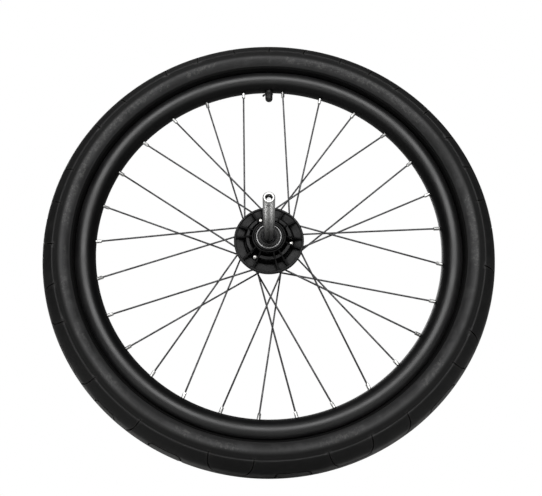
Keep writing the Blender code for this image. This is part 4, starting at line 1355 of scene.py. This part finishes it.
def softbox(name, at, size, power, target=(0.0, 0.0, 0.0)):
    data = bpy.data.lights.new(name, "AREA")
    data.shape, data.energy = "RECTANGLE", power
    data.size, data.size_y = size
    obj = bpy.data.objects.new(name, data)
    obj.location = at
    obj.rotation_mode = "QUATERNION"
    obj.rotation_quaternion = (Vector(target) - Vector(at)).to_track_quat("-Z", "Y")
    obj.visible_camera = False
    scene.collection.objects.link(obj)
    return obj


def build_lights():
    softbox("front_softbox", at=(0.0, -1.85, 0.82), size=(1.7, 1.0), power=26.0)
    softbox("top_softbox", at=(-0.5, -0.4, 2.1), size=(1.4, 1.4), power=3.0)

    # Two low strips and a wide panel behind the wheel, which only the bright metal mirrors
    bright = bpy.data.collections.new("bright_metal")
    for obj in scene.collection.objects:
        if obj.name.startswith(("axle_tube_body", "cover_screw", "release_rod")):
            bright.objects.link(obj)
    # (name, x, z, size, power)
    for name, x, z, size, power in (("rear_panel", 0.0, 0.0, (3.4, 2.6), 2.8),
                                    ("left_strip", -0.64, -0.36, (0.36, 0.42), 1.35),
                                    ("right_strip", 0.56, -0.44, (0.46, 0.56), 1.75)):
        strip = softbox(name, at=(x, 1.9, z), size=size, power=power)
        strip.light_linking.receiver_collection = bright
        strip.light_linking.blocker_collection = bright
    softbox("low_softbox", at=(0.0, -0.85, -1.25), size=(1.2, 0.5), power=6.5,
            target=(0.0, 0.0, -0.2))
    rear = softbox("rear_softbox", at=(-0.8, 1.6, 0.9), size=(1.3, 1.0), power=16.0)
    # The rear softbox leaves out the axle
    shaded = bpy.data.collections.new("not_lit_from_behind")
    shaded.objects.link(bpy.data.objects["axle_tube_body"])
    shaded.collection_objects[0].light_linking.link_state = "EXCLUDE"
    rear.light_linking.receiver_collection = shaded


SENSOR, LENS = 36.0, 48.971956      # width and focal length, in millimetres
EYE_DISTANCE = 0.820                # from the wheel's centre
EYE_BELOW = math.radians(19.28)     # below the wheel's axis
# The camera looks past the centre by these tangents, so that the centre lands
# a little left of and above the middle of the frame.
AIM_RIGHT, AIM_DOWN = 0.00284823, 0.00610335


def build_camera():
    eye = Vector((0.0, -EYE_DISTANCE * math.cos(EYE_BELOW), -EYE_DISTANCE * math.sin(EYE_BELOW)))
    data = bpy.data.cameras.new("camera")
    data.sensor_fit = "HORIZONTAL"
    data.sensor_width = SENSOR
    data.lens = LENS
    data.clip_start, data.clip_end = 0.01, 50.0
    camera = bpy.data.objects.new("camera", data)
    scene.collection.objects.link(camera)
    forward = (-eye).normalized()
    right = Vector((1.0, 0.0, 0.0))
    up = right.cross(forward)
    aim = (forward + right * AIM_RIGHT - up * AIM_DOWN).normalized()
    side = aim.cross(up).normalized()
    top = side.cross(aim)
    camera.matrix_world = Matrix((
        (side.x, top.x, -aim.x, eye.x),
        (side.y, top.y, -aim.y, eye.y),
        (side.z, top.z, -aim.z, eye.z),
        (0, 0, 0, 1)))
    scene.camera = camera


# =============================================================================
# Build
# =============================================================================
build_tyre()
build_tube_and_tape()
for spoke in range(SPOKES):
    build_spoke(spoke)
build_rim()
build_valve()
build_core()
build_covers()
for screw_label, screw_direction in zip("abc", SCREWS):
    build_screw(screw_label, screw_direction)
build_bearing("front", 1.0)
build_bearing("rear", -1.0)
build_spacer()
build_axle()
build_clip()
build_release()
build_floor()
build_world()
build_lights()
scene.view_settings.view_transform = "Standard"
scene.view_settings.look = "None"
build_camera()
